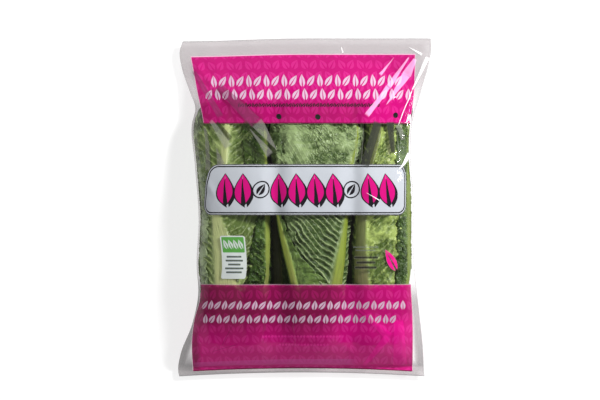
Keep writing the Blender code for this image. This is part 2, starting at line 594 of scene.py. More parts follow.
def leaf_row_group() -> NodeTree:
    """Mask of a printed row of small leaves that lean to the left and the right by turns.

    Returns:
        The node group.
    """
    effect = EffectGroup(
        "printed_leaf_row",
        {"X": 0.0, "Y": 0.0, "Pitch": 10.0, "Length": 4.0, "Width": 2.0, "Lean": 0.4, "Slant": 0.0,
         "Rib": 0.3, "Edge": 0.2},
        ("Mask",),
    )
    g, src = effect.graph, effect.source
    tip_taper, rib_reach = -0.35, 0.8
    column = g.math("FLOOR", g.math("DIVIDE", src["X"], src["Pitch"]))
    middle = g.times(g.plus(column, 0.5), src["Pitch"])
    off = g.minus(src["X"], middle)
    odd = g.math("FLOORED_MODULO", column, 2.0)
    side = g.minus(1.0, g.times(odd, 2.0))
    lean = g.plus(g.times(src["Lean"], side), src["Slant"])
    cosine = g.math("COSINE", lean)
    sine = g.math("SINE", lean)
    over = g.minus(g.times(off, cosine), g.times(src["Y"], sine))
    up = g.plus(g.times(off, sine), g.times(src["Y"], cosine))
    share = g.math("DIVIDE", up, src["Length"])
    taper = g.plus(1.0, g.times(share, tip_taper))
    room = g.minus(1.0, g.times(share, share))
    half = g.times(g.times(src["Width"], room), taper)
    width = g.math("ABSOLUTE", over)
    body = g.step(g.minus(half, width), g.times(src["Edge"], -1.0), src["Edge"])
    rib_end = g.times(src["Rib"], g.minus(rib_reach, share))
    rib = g.step(g.minus(width, rib_end), 0.0, src["Edge"])
    g.feed(effect.result["Mask"], g.times(body, rib))
    return effect.tree


def facet_group() -> NodeTree:
    """Mask of a straight-edged facet that runs along a line and changes its width on the way.

    Returns:
        The node group.
    """
    effect = EffectGroup(
        "folded_facet",
        {"X": 0.0, "Y": 0.0, "Run X": 1.0, "Run Y": 0.0, "Length": 10.0, "Start Width": 1.0,
         "End Width": 1.0, "Edge": 0.5},
        ("Mask",),
    )
    g, src = effect.graph, effect.source
    along = g.plus(g.times(src["X"], src["Run X"]), g.times(src["Y"], src["Run Y"]))
    off = g.minus(g.times(src["X"], src["Run Y"]), g.times(src["Y"], src["Run X"]))
    share = g.math("DIVIDE", along, src["Length"])
    width = g.lerp(share, src["Start Width"], src["End Width"])
    beside = g.step(g.minus(width, g.math("ABSOLUTE", off)), 0.0, src["Edge"])
    soft_start, soft_end = 0.06, 0.92
    started = g.step(share, 0.0, soft_start)
    ended = g.step(share, 1.0, soft_end)
    g.feed(effect.result["Mask"], g.times(beside, g.times(started, ended)))
    return effect.tree


def crinkle_group() -> NodeTree:
    """Fine uneven creases of a thin film, as a height.

    Returns:
        The node group.
    """
    effect = EffectGroup("film_crinkle", {"Place": None, "Size": 60.0, "Stretch": 0.3}, ("Height",))
    g, src = effect.graph, effect.source
    turn = 0.6
    turned = g.add("ShaderNodeMapping", {"Vector": src["Place"], "Rotation": (0.0, 0.0, turn)})
    soft = g.noise(turned.outputs["Vector"], src["Size"], detail=3.0, distortion=0.6)
    sharp = g.math("ABSOLUTE", g.minus(soft, 0.5))
    g.feed(effect.result["Height"], g.plus(soft, g.times(sharp, src["Stretch"])))
    return effect.tree


def leaf_cloud_group() -> NodeTree:
    """Cloudy patches in a leaf's colour, around 0.

    Returns:
        The node group.
    """
    effect = EffectGroup("leaf_cloud", {"Place": None, "Size": 20.0}, ("Cloud",))
    g, src = effect.graph, effect.source
    cloud = g.noise(src["Place"], src["Size"], detail=2.5, distortion=0.5)
    g.feed(effect.result["Cloud"], g.minus(cloud, 0.5))
    return effect.tree


def side_vein_group() -> NodeTree:
    """Side veins from a count that grows by one from vein to vein, and the pillows between them.

    Returns:
        The node group.
    """
    effect = EffectGroup(
        "side_veins", {"Across": 0.0, "Count": 0.0, "Wander": 0.0}, ("Vein", "Trough", "Crease")
    )
    g, src = effect.graph, effect.source
    vein_wander, cell_wander, cells_across, cells_up = 0.5, 2.5, 21.0, 1.5
    count = g.plus(src["Count"], g.times(src["Wander"], vein_wander))
    gap = g.math("ABSOLUTE", g.minus(count, g.math("ROUND", count)))
    over = g.plus(g.times(src["Across"], cells_across), g.times(src["Wander"], cell_wander))
    feeds = {"Vector": g.vector(over, g.times(count, cells_up)), "Scale": 1.0}
    cells = g.add("ShaderNodeTexVoronoi", feeds, feature="DISTANCE_TO_EDGE")
    g.feed(effect.result["Vein"], g.step(gap, 0.17, 0.03))
    g.feed(effect.result["Trough"], g.step(gap, 0.12, 0.40))
    g.feed(effect.result["Crease"], g.step(cells.outputs["Distance"], 0.22, 0.0))
    return effect.tree


def rib_grain_group() -> NodeTree:
    """Fine lines that run along a rib.

    Returns:
        The node group.
    """
    effect = EffectGroup("rib_grain", {"Across": 0.0, "Along": 0.0, "Size": 80.0}, ("Lines",))
    g, src = effect.graph, effect.source
    stretch = 0.06
    drawn_out = g.vector(src["Across"], g.times(src["Along"], stretch))
    g.feed(effect.result["Lines"], g.noise(drawn_out, src["Size"], detail=2.0))
    return effect.tree


class Effects:
    """The shared node groups, each built once."""

    def __init__(self) -> None:
        """Builds every group."""
        self.panel = panel_group()
        self.leaf_row = leaf_row_group()
        self.facet = facet_group()
        self.crinkle = crinkle_group()
        self.leaf_cloud = leaf_cloud_group()
        self.side_veins = side_vein_group()
        self.rib_grain = rib_grain_group()


def new_material(name: str) -> tuple[Material, Graph, Node, Node]:
    """Makes an empty material.

    Args:
        name: the material's name.

    Returns:
        The material, its graph, its Principled shader and its output node.
    """
    material = bpy.data.materials.new(name)
    material.use_nodes = True
    nodes = material.node_tree.nodes
    return material, Graph(material.node_tree), nodes["Principled BSDF"], nodes["Material Output"]


@dataclass(frozen=True)
class LeafFinish:
    """Colours and gloss of one kind of romaine leaf."""

    name: str
    # The blade's darkest and lightest colours; the leaf's light mark, partly random tone and partly painted
    # light and shade, picks between them.
    deep: Colour
    bright: Colour
    vein: Colour
    rib: Colour
    rib_foot: Colour
    roughness: float = 0.34
    cloud_light: float = 1.3
    # Painted shade in the side veins' troughs and the puckers' creases.
    trough_painted_shade: float = 0.30
    crease_painted_shade: float = 0.55
    vein_cover: float = 0.75
    cloud_foot: float = 0.6
    grain_level: float = 0.46
    grain_dark: float = 1.6
    cloud_rise: float = 1.2
    vein_rise: float = 0.9
    crease_drop: float = 1.1
    grain_rise: float = 0.4
    bump_strength: float = 0.9
    bump_depth: float = 0.0011

    def material(self, effects: Effects) -> Material:
        """Builds the material, which reads the marks that the leaf's mesh stores.

        Args:
            effects: the shared node groups.

        Returns:
            The material.
        """
        material, g, shader, _ = new_material(self.name)
        chart = g.add("ShaderNodeUVMap", uv_map="leaf_map").outputs["UV"]
        across, along, _ = g.split(chart)
        cloud = g.effect(effects.leaf_cloud, Place=chart)["Cloud"]
        side = g.effect(effects.side_veins, Across=across, Count=g.noted("count"), Wander=cloud)
        grain = g.effect(effects.rib_grain, Across=across, Along=along)["Lines"]
        vein = g.times(side["Vein"], g.noted("ridges"))
        trough = g.times(side["Trough"], g.noted("ridges"))
        crease = g.times(side["Crease"], g.noted("puckers"))
        # Painted light and shade: the stored light mark and random clouds, less painted shade in the troughs
        # and the creases, pick between the deep and the bright colour.
        light = g.plus(g.noted("light"), g.times(cloud, self.cloud_light))
        light = g.minus(light, g.times(trough, self.trough_painted_shade))
        light = g.minus(light, g.times(crease, self.crease_painted_shade))
        blade = g.blend(g.step(light, 0.0, 1.0), self.deep, self.bright)
        blade = g.blend(g.times(vein, self.vein_cover), blade, self.vein)
        foot = g.plus(g.noted("foot"), g.times(cloud, self.cloud_foot))
        rib = g.blend(g.step(foot, 0.0, 1.0), self.rib, self.rib_foot)
        shaded = g.times(g.minus(grain, self.grain_level), self.grain_dark)
        rib = g.blend(g.math("MAXIMUM", shaded, 0.0), rib, self.deep)
        colour = g.blend(g.noted("rib"), blade, rib)
        relief = g.plus(g.times(cloud, self.cloud_rise), g.times(vein, self.vein_rise))
        relief = g.minus(relief, g.times(crease, self.crease_drop))
        striped = g.lerp(g.noted("rib"), relief, g.times(grain, self.grain_rise))
        normal = g.bump(striped, self.bump_strength, self.bump_depth)
        g.wire(shader, {"Base Color": colour, "Roughness": self.roughness, "Normal": normal})
        return material


class LeafTone(Enum):
    """Kinds of leaf in a heart, by the finish that each one has."""

    OUTER = LeafFinish(
        "romaine_outer",
        deep=(0.038, 0.070, 0.014), bright=(0.213, 0.285, 0.122),
        vein=(0.304, 0.380, 0.175), rib=(0.180, 0.234, 0.026), rib_foot=(0.186, 0.203, 0.042),
    )
    DARK = LeafFinish(
        "romaine_dark",
        deep=(0.023, 0.049, 0.007), bright=(0.114, 0.194, 0.040),
        vein=(0.176, 0.264, 0.066), rib=(0.185, 0.232, 0.044), rib_foot=(0.190, 0.188, 0.066),
    )
    SHADED = LeafFinish(
        "romaine_shaded",
        deep=(0.030, 0.060, 0.010), bright=(0.112, 0.178, 0.041),
        vein=(0.160, 0.228, 0.059), rib=(0.315, 0.375, 0.069), rib_foot=(0.292, 0.316, 0.085),
    )
    EDGE = LeafFinish(
        "romaine_edge",
        deep=(0.024, 0.052, 0.006), bright=(0.120, 0.202, 0.036),
        vein=(0.184, 0.276, 0.060), rib=(0.126, 0.174, 0.014), rib_foot=(0.126, 0.174, 0.019),
    )
    PALE = LeafFinish(
        "romaine_pale",
        deep=(0.073, 0.112, 0.024), bright=(0.251, 0.317, 0.113),
        vein=(0.330, 0.389, 0.176), rib=(0.366, 0.408, 0.174), rib_foot=(0.367, 0.367, 0.162),
    )
    TAN = LeafFinish(
        "romaine_tan_rib",
        deep=(0.060, 0.098, 0.017), bright=(0.317, 0.405, 0.105),
        vein=(0.405, 0.484, 0.180), rib=(0.111, 0.126, 0.043), rib_foot=(0.133, 0.104, 0.047),
    )
    GREY = LeafFinish(
        "romaine_greyed",
        deep=(0.077, 0.113, 0.046), bright=(0.270, 0.342, 0.168),
        vein=(0.360, 0.432, 0.230), rib=(0.306, 0.360, 0.145), rib_foot=(0.324, 0.360, 0.153),
    )


class Detail(Enum):
    """Columns and rows of a leaf's grid."""

    FINE = (84, 236)
    PLAIN = (36, 84)


@dataclass(frozen=True)
class LeafPlan:
    """Where one leaf lies round its heart.

    Places up the bag are in millimetres. Places round the heart are 0 at the middle of its
    front, 1 and -1 at its right and left side, and 2 and -2 at the middle of its back.
    """

    name: str
    tone: LeafTone
    tip: float
    rib: Curve
    left: Curve
    right: Curve
    layers: tuple[float, float, float]
    detail: Detail = Detail.FINE
    rib_half: Curve = ((-139, 11), (-78, 6), (-19, 4.6), (43, 3.2), (80, 2.2), (118, 1.0))
    # How light the blade is painted up the bag: partly the leaf's own tone, partly painted light and shade
    # for where it lies in the heart.
    light: Curve = ((-139, 0.3), (120, 0.6))
    ridges: Curve = even(0.8)
    puckers: Curve = even(0.9)
    crumple: Curve = even(0.7)
    vein_pitch: float = 8.0
    # Painted shade across the leaf: a positive value darkens its right side and lightens its left.
    tilt: float = 0.0
    ruffle: float = 1.2
    seed: int = 1


@dataclass(frozen=True)
class Heart:
    """One romaine heart: its line and its width up the bag in millimetres, and its leaves.

    The gaps that it keeps to the film are in metres.
    """

    name: str
    centre: Curve
    half_width: Curve
    leaves: tuple[LeafPlan, ...]
    roundness: float = 2.4
    clearance: float = 0.0032
    side_margin: float = 2.6 * MM
    look_out: float = 1.3 * MM
    film_gap: float = 0.0008
    back_spare: float = 0.8
    least_depth: float = 0.0004

    def angle(self, turn: Array) -> Array:
        """Angle round the heart, in radians from its right side, of a place from -3 to 3.

        Args:
            turn: places round the heart.

        Returns:
            The angles.
        """
        size = np.abs(turn)
        near = np.where(size <= 1, size, 2 - size)
        lifted = np.sign(near) * np.abs(near) ** (self.roundness / 2)
        base = np.arccos(np.clip(lifted, -1.0, 1.0))
        right = np.where(size <= 1, base, -base)
        return np.where(turn >= 0, right, np.pi - right)

    def place(self, angle: Array, y: Array, layer: Array, bag: BagForm) -> Array:
        """Puts points round the heart.

        Args:
            angle: angles round the heart.
            y: places up the bag, in metres.
            layer: share of the heart's full size that each point lies at.
            bag: the bag that holds the heart.

        Returns:
            The points, in metres.
        """
        centre = curve_through(self.centre, y / MM) * MM
        half_width = curve_through(self.half_width, y / MM) * MM
        top, bottom = bag.heights(centre, y)
        half_depth = np.maximum((top - bottom) / 2 - self.clearance, self.least_depth)
        cosine, sine = np.cos(angle), np.sin(angle)
        power = 2 / self.roundness
        x = centre + half_width * layer * np.sign(cosine) * np.abs(cosine) ** power
        z = (top + bottom) / 2 + half_depth * layer * np.sign(sine) * np.abs(sine) ** power
        return self.held_in(np.stack((x, y, z), axis=-1), (1 - layer) * half_depth, bag)

    def held_in(self, places: Array, spare: Array, bag: BagForm) -> Array:
        """Keeps points inside the film, with some spare room for the layers over them.

        Args:
            places: the points.
            spare: room for the layers over them.
            bag: the bag that holds the heart.

        Returns:
            The points that are kept in.
        """
        x, y, z = np.moveaxis(places, -1, 0)
        left, right = bag.half_width(x * 0 - 1, y), bag.half_width(x * 0 + 1, y)
        x = np.clip(x, -left + self.side_margin, right - self.side_margin)
        top, bottom = bag.heights(x + np.sign(x) * self.look_out, y)
        low = bottom + self.film_gap + self.back_spare * spare
        high = np.maximum(top - self.film_gap - spare, low)
        return np.stack((x, y, np.clip(z, low, high)), axis=-1)


class LeafRelief:
    """Rib, side veins, puckers, folds and margin at each point of a leaf's grid, in millimetres."""

    RIB_LIMITS = (1.1, 0.6)
    RIB_DOME = 0.30
    BROADEST_DOME = 12.0
    VEIN_RISE = 0.67
    VEIN_CURL = 0.004
    VEIN_WANDER = 0.42
    VEIN_HALF = 1.25
    VEIN_START = 3.0
    VEIN_FADE = 0.80
    FADE_FROM = 0.45
    VEIN_LEVEL = (0.70, 0.60)
    VEIN_SHARE = 0.42
    TROUGH_HALF = 2.4
    TROUGH_DEPTH = 0.6
    PUCKER_SIZE = 6.0
    PUCKERS_TO_VEIN = 1.5
    PUCKER_LEVEL = (0.62, 0.8)
    PUCKER_SHARE = 0.5
    BORDER_HALF = 0.17
    BORDER_RISE = 0.7
    DOME_EDGE = 0.55
    DOME_DEPTH = 0.8
    FOLD_SHARPNESS = 2.4
    FOLD_RISE = 0.9
    SMALL_FOLD_RISE = 0.4
    RIB_CRUMPLE = 0.25
    DEEPEST = -2.0
    WAVE = 2.3
    RIPPLE = 1.05
    CURLED_TIP = (34, 4)
    TIP_DROOP = 1.2
    PATCH_LIGHT = 0.18
    FOLD_LIGHT = 0.10
    DOME_SHADE = 0.22
    TROUGH_SHADE = 0.17
    RIB_GLOW = 0.35
    RIB_GLOW_HALF = 6.0

    def __init__(self, plan: LeafPlan, noise: Noise, share: Array, across: Array,
                 y: Array) -> None:
        """Works out the masks that the relief and the light share.

        Args:
            plan: the leaf's plan.
            noise: the leaf's own noise.
            share: place from -1 at the left margin to 1 at the right one.
            across: distance from the rib, less than 0 on its left.
            y: place up the bag.
        """
        self.plan = plan
        self.noise = noise
        self.share = share
        self.edge = np.abs(share)
        self.across = across
        self.beside = np.abs(across)
        self.y = y
        self.up = y - RomaineLeaf.BASE
        self.rib_half = curve_through(plan.rib_half, y)
        wide, narrow = self.RIB_LIMITS
        self.rib = ease(self.rib_half * wide, self.rib_half * narrow, self.beside)
        self.off_rib = 1 - self.rib
        self.count = self._vein_count()
        self.gap = np.abs(self.count - np.rint(self.count)) * plan.vein_pitch
        fade = 1 - self.VEIN_FADE * ease(self.FADE_FROM, 1.0, self.edge)
        self.grown = ease(self.rib_half, self.rib_half + self.VEIN_START, self.beside) * fade
        level, swing = self.VEIN_LEVEL
        self.broken = level + swing * self._swell(wide=7, tall=8, start=11)
        self.trough = 1 - ridge(self.gap, self.TROUGH_HALF)
        self.ridges = curve_through(plan.ridges, y)
        over = self.beside / self.PUCKER_SIZE + 9 * (across < 0)
        self.cell = noise.cells(over, self.count * self.PUCKERS_TO_VEIN)
        self.dome = ease(0.0, self.DOME_EDGE, self.cell)
        level, swing = self.PUCKER_LEVEL
        uneven = level + swing * self._swell(wide=13, tall=11, start=30)
        self.puckers = curve_through(plan.puckers, y) * uneven
        self.crumple = curve_through(plan.crumple, y)
        slanted = noise.swell(across / 13 + self.up / 40 + 3, self.up / 17 + 3)
        self.fold = 1 - self.FOLD_SHARPNESS * np.abs(slanted)
        self.small_fold = 1 - self.FOLD_SHARPNESS * np.abs(self._swell(wide=5, tall=6, start=7))

    def _vein_count(self) -> Array:
        """A count that grows by one from side vein to side vein, half a step apart on the two sides.

        Returns:
            The count at each point.
        """
        wander = self.VEIN_WANDER * self._swell(wide=12, tall=15, start=5)
        level = self.up - self.VEIN_RISE * self.beside - self.VEIN_CURL * self.beside**2
        count = level / self.plan.vein_pitch + wander
        return count + np.where(self.across < 0, 0.5, 0.0)

    def _swell(self, wide: float, tall: float, start: float = 0.0) -> Array:
        """Rolling heights from -1 to 1, with features of this width and height."""
        return self.noise.swell(self.across / wide + start, self.up / tall)

    def _rib_rise(self) -> Array:
        """How far the rib stands up."""
        top = self.RIB_DOME * np.minimum(self.rib_half, self.BROADEST_DOME)
        return top * np.sqrt(np.clip(1 - (self.beside / self.rib_half) ** 2, 0.0, 1.0))

    def _ruffle(self) -> Array:
        """Waves and ripples of the margin.

        Returns:
            How far each point is moved.
        """
        wave = np.sin(self.up / self.WAVE + 4 * self.noise.swell(self.up / 30, self.across * 0 + 1.0))
        ripple = np.sin(self.up / self.RIPPLE + 5 * self.noise.swell(self.up / 11, self.across * 0 + 8.0))
        return self.plan.ruffle * self.edge**4 * (wave + 0.5 * ripple)

    def rise(self) -> Array:
        """How far each point stands out of the leaf's smooth surface.

        Returns:
            The rise.
        """
        vein = ridge(self.gap, self.VEIN_HALF) * self.broken * self.grown
        border = ridge(self.cell, self.BORDER_HALF)
        pillow = self.BORDER_RISE * border - self.DOME_DEPTH * self.dome
        crumpled = self.FOLD_RISE * self.fold + self.SMALL_FOLD_RISE * self.small_fold
        on_rib = self.RIB_CRUMPLE + (1 - self.RIB_CRUMPLE) * self.off_rib
        rise = self._rib_rise()
        rise = rise + self.ridges * (vein - self.TROUGH_DEPTH * self.trough * self.grown) * self.off_rib
        rise = rise + self.puckers * pillow * self.off_rib
        rise = rise + self.crumple * crumpled * on_rib
        rise = np.maximum(rise, self.DEEPEST) + self._ruffle()
        start, end = self.CURLED_TIP
        tip = ease(self.plan.tip - start, self.plan.tip - end, self.y)
        return rise - self.TIP_DROOP * tip * np.abs(self._swell(wide=7, tall=7))

    def light(self) -> Array:
        """How light the blade is painted: random patches and the rib's sides are lighter, with painted light
        on the folds' crests and painted shade in the pillows' dips, the troughs and on one side.

        Returns:
            From 0 for the dark colour to 1 for the bright one.
        """
        light = curve_through(self.plan.light, self.y)
        light = light + self.PATCH_LIGHT * self._swell(wide=8, tall=9)
        light = light + self.FOLD_LIGHT * self.crumple * (self.fold + 0.6 * self.small_fold)
        light = light - self.DOME_SHADE * self.dome * np.minimum(self.puckers, 1.2)
        light = light - self.plan.tilt * self.share
        light = light - self.TROUGH_SHADE * self.trough * self.grown * np.minimum(self.ridges, 2.0)
        light = light + self.RIB_GLOW * ridge(self.beside - self.rib_half, self.RIB_GLOW_HALF)
        return np.clip(light, 0.0, 1.0)

    def marks(self) -> dict[str, Array]:
        """The numbers that the leaf's material reads, by their names.

        Returns:
            The numbers at each point.
        """
        shown = self.VEIN_SHARE * self.ridges * self.grown * self.broken
        return {
            "rib": self.rib,
            "count": self.count,
            "ridges": np.clip(shown, 0.0, 1.0) * self.off_rib,
            "puckers": np.clip(self.PUCKER_SHARE * self.puckers, 0.0, 1.0) * self.off_rib,
            "light": self.light(),
            "foot": ease(-20.0, -120.0, self.y),
        }


class RomaineLeaf:
    """One leaf: a thin wavy solid with a thick rib, raised side veins and puckers."""

    BASE = -137.0
    TIP_DROP = 24.0
    TIP_ROUNDNESS = 0.96
    TIP_WAVE = 2.5
    EDGE_WAVE = 0.05
    LAYER_POWER = 1.5
    SKIN = 0.0008
    CHART = 0.01

    def __init__(self, heart: Heart, plan: LeafPlan, bag: BagForm) -> None:
        """Takes the leaf's plan, its heart and its bag.

        Args:
            heart: the heart.
            plan: the leaf's plan.
            bag: the bag.
        """
        self.heart = heart
        self.plan = plan
        self.bag = bag
        self.noise = Noise(plan.seed)

    def _surface(self, sheet: Sheet) -> tuple[Array, Array]:
        """Lays the leaf's smooth surface round its heart.

        Args:
            sheet: the leaf's grid.

        Returns:
            Each point's place in metres, and its distance across from the rib in millimetres.
        """
        plan, heart = self.plan, self.heart
        u = sheet.across
        v = (sheet.along + 1) / 2
        edge_wave = self.noise.swell(v * 9, np.sign(u) * 3.0 + 7.0) * self.EDGE_WAVE * np.abs(u)
        end = plan.tip - self.TIP_DROP * (1 - np.sqrt(1 - (self.TIP_ROUNDNESS * u) ** 2))
        end = end + self.TIP_WAVE * self.noise.swell(u * 4 + 20, u * 0 + 3.0)
        y = self.BASE + (end - self.BASE) * v
        rib, left, right = (
            heart.angle(curve_through(line, y)) for line in (plan.rib, plan.left, plan.right)
        )
        reach = np.where(u < 0, left - rib, right - rib)
        angle = rib + reach * (np.abs(u) + edge_wave)
        low, middle, high = plan.layers
        layer = middle + np.where(u < 0, low - middle, high - middle) * np.abs(u) ** self.LAYER_POWER
        places = heart.place(angle, y * MM, layer, self.bag)
        run = run_across(places) / MM
        return places, run - run[:, run.shape[1] // 2][:, None]

    def build(self, material: Material) -> Piece:
        """Lays the leaf, thickens it and dresses it.

        Args:
            material: its material.

        Returns:
            The leaf.
        """
        columns, rows = self.plan.detail.value
        sheet = Sheet(f"{self.heart.name}_{self.plan.name}", columns, rows)
        places, across = self._surface(sheet)
        y = places[..., 1] / MM
        relief = LeafRelief(self.plan, self.noise, sheet.across, across, y)
        places = places + outward(places) * relief.rise()[..., None] * MM
        sheet.lay(self.heart.held_in(places, np.zeros(y.shape), self.bag))
        for name, values in relief.marks().items():
            sheet.note(name, values)
        sheet.chart("leaf_map", across * self.CHART, (y - self.BASE) * self.CHART)
        sheet.piece.data.materials.append(material)
        solid = sheet.piece.modifiers.new("blade", "SOLIDIFY")
        solid.thickness = self.SKIN
        solid.offset = -1.0
        pick_only(sheet.piece)
        bpy.ops.object.modifier_apply(modifier=solid.name)
        smooth_all(sheet.piece)
        return sheet.piece


@dataclass(frozen=True)
class StemFinish:
    """Cut face and skin of a romaine stem."""

    skin: Colour = (0.52, 0.52, 0.30)
    cut: Colour = (0.50, 0.36, 0.20)
    cut_limits: tuple[float, float] = (-0.131, -0.137)
    cut_wander: float = 0.006
    cloud_size: float = 140.0
    roughness: float = 0.5
    bump_strength: float = 0.6
    bump_depth: float = 0.001

    def material(self, effects: Effects) -> Material:
        """Builds a pale skin that browns towards the cut.

        Args:
            effects: the shared node groups.

        Returns:
            The material.
        """
        material, g, shader, _ = new_material("romaine_stem")
        place = g.add("ShaderNodeTexCoord").outputs["Object"]
        cloud = g.effect(effects.leaf_cloud, Place=place, Size=self.cloud_size)["Cloud"]
        wandering = g.plus(g.split(place)["Y"], g.times(cloud, self.cut_wander))
        cut = g.step(wandering, *self.cut_limits)
        colour = g.blend(cut, self.skin, self.cut)
        normal = g.bump(cloud, self.bump_strength, self.bump_depth)
        g.wire(shader, {"Base Color": colour, "Roughness": self.roughness, "Normal": normal})
        return material


@dataclass(frozen=True)
class Stem:
    """The short stem that a heart's leaves grow from, cut flat at its foot."""

    heart: Heart
    bag: BagForm
    length: float = 0.034
    foot: float = -0.1385
    share: float = 0.80
    sides: int = 48
    bevel_width: float = 0.0022
    bevel_segments: int = 3
    smooth_below: float = 0.7

    def build(self, material: Material) -> Piece:
        """Adds a cylinder along the heart, bevels its cut edge and gives it its oval form.

        Args:
            material: its material.

        Returns:
            The stem.
        """
        y = np.array([self.foot])
        centre = float(curve_through(self.heart.centre, y / MM)[0]) * MM
        half_width = float(curve_through(self.heart.half_width, y / MM)[0]) * MM
        top, bottom = (float(level[0]) for level in self.bag.heights(np.array([centre]), y))
        half_depth = (top - bottom) / 2 - self.heart.clearance
        bpy.ops.mesh.primitive_cylinder_add(
            vertices=self.sides,
            radius=half_width * self.share,
            depth=self.length,
            end_fill_type="TRIFAN",
            location=(centre, self.foot + self.length / 2, (top + bottom) / 2),
            rotation=(np.pi / 2, 0.0, 0.0),
        )
        stem = bpy.context.object
        stem.name = f"{self.heart.name}_stem"
        stem.scale = (1.0, half_depth / half_width, 1.0)
        bpy.ops.object.transform_apply(location=True, rotation=True, scale=True)
        bevel = stem.modifiers.new("rounded_cut", "BEVEL")
        bevel.width = self.bevel_width
        bevel.segments = self.bevel_segments
        bpy.ops.object.modifier_apply(modifier=bevel.name)
        stem.data.materials.append(material)
        bpy.ops.object.shade_smooth_by_angle(angle=self.smooth_below)
        return stem


def inner_leaves(seed: int, tip: float, lean: float) -> tuple[LeafPlan, ...]:
    """The leaves that are plain because others cover them: two under, two inner and a core.

    Args:
        seed: seed of the leaves' relief.
        tip: how far up the bag the longest one ends, in millimetres.
        lean: how far round the heart they are turned.

    Returns:
        Their plans.
    """
    table = (
        ("under_left", LeafTone.OUTER, -16, -1.75, 0.95, 1.0, 0.95, 0.35),
        ("under_right", LeafTone.DARK, -22, 1.8, 0.9, 0.95, 0.97, 0.3),
        ("inner_front", LeafTone.PALE, 0, 0.15, 1.35, 1.30, 0.82, 0.75),
        ("inner_back", LeafTone.PALE, -6, -1.7, 1.2, 1.2, 0.70, 0.7),
        ("core", LeafTone.PALE, -20, 0.5, 1.5, 1.5, 0.55, 0.95),
    )
    plans = []
    for count, (name, tone, shorter, rib, left, right, layer, light) in enumerate(table):
        middle = rib + lean
        plans.append(
            LeafPlan(
                name=name,
                tone=tone,
                detail=Detail.PLAIN,
                tip=tip + shorter,
                rib=((-139, middle), (100, middle)),
                left=((-139, middle - left * 0.5), (-78, middle - left), (100, middle - left * 0.8)),
                right=((-139, middle + right * 0.5), (-78, middle + right), (100, middle + right * 0.8)),
                layers=(layer - 0.03, layer, layer - 0.05),
                light=((-139, light * 0.8), (100, light)),
                seed=seed + count,
            )
        )
    return tuple(plans)


LEFT_HEART = Heart(
    name="left_heart",
    centre=((-139, -70), (-78, -72), (-19, -71.5), (36, -74), (80, -75), (120, -72)),
    half_width=((-139, 24), (-78, 35), (-19, 38), (36, 38.5), (80, 38), (120, 34)),
    leaves=(
        LeafPlan(
            "front_left", LeafTone.PALE, tip=104,
            rib=((-139, 0.0), (-100, -0.15), (-78, -0.2), (-50, -0.22), (-30, -0.34), (-8, -0.44),
                 (20, -0.34), (43, -0.2), (80, -0.1), (104, 0.0)),
            left=((-139, -1.0), (-78, -1.1), (80, -1.0), (104, -0.6)),
            right=((-139, 0.8), (-78, 0.75), (-19, 0.8), (43, 0.75), (80, 0.7), (104, 0.5)),
            layers=(0.94, 0.98, 0.88),
            rib_half=((-139, 14), (-78, 13), (-50, 13), (-30, 9.6), (-8, 5.4), (43, 4.4), (80, 3.5),
                      (104, 1.5)),
            light=((-139, 0.5), (-8, 0.3), (43, 0.32), (80, 0.4)),
            ridges=even(1.3), puckers=even(0.6),
            crumple=((-139, 0.15), (0, 0.3), (50, 0.9), (104, 1.2)), seed=11,
        ),
        LeafPlan(
            "front_right", LeafTone.DARK, tip=112,
            rib=((-139, 0.75), (-78, 0.93), (-19, 0.89), (43, 0.9), (80, 0.9), (112, 0.7)),
            left=((-139, 0.4), (-78, 0.42), (-50, 0.43), (-8, 0.62), (43, 0.38), (80, 0.35), (112, 0.3)),
            right=((-139, 1.5), (-19, 1.8), (80, 1.7), (112, 1.3)),
            layers=(1.0, 1.0, 0.96),
            rib_half=((-139, 9), (-78, 4.6), (-19, 5.2), (43, 3), (112, 1)),
            light=((-139, 0.3), (-20, 0.2), (43, 0.5), (112, 0.6)),
            ridges=even(1.0), puckers=even(1.8), ruffle=2.0, crumple=even(1.7), seed=12,
        ),
        LeafPlan(
            "side_left", LeafTone.GREY, tip=96,
            rib=((-139, -1.2), (-19, -1.4), (95, -1.3)),
            left=((-139, -1.9), (-19, -2.2), (95, -1.9)),
            right=((-139, -0.6), (-78, -0.72), (-19, -0.67), (20, -0.62), (60, -0.72), (95, -0.8)),
            layers=(0.97, 1.0, 1.0),
            light=((-139, 0.5), (96, 0.6)),
            ridges=even(0.9), puckers=even(1.4), ruffle=1.6, crumple=even(1.6), seed=13,
        ),
        *inner_leaves(seed=20, tip=120, lean=0.0),
    ),
)

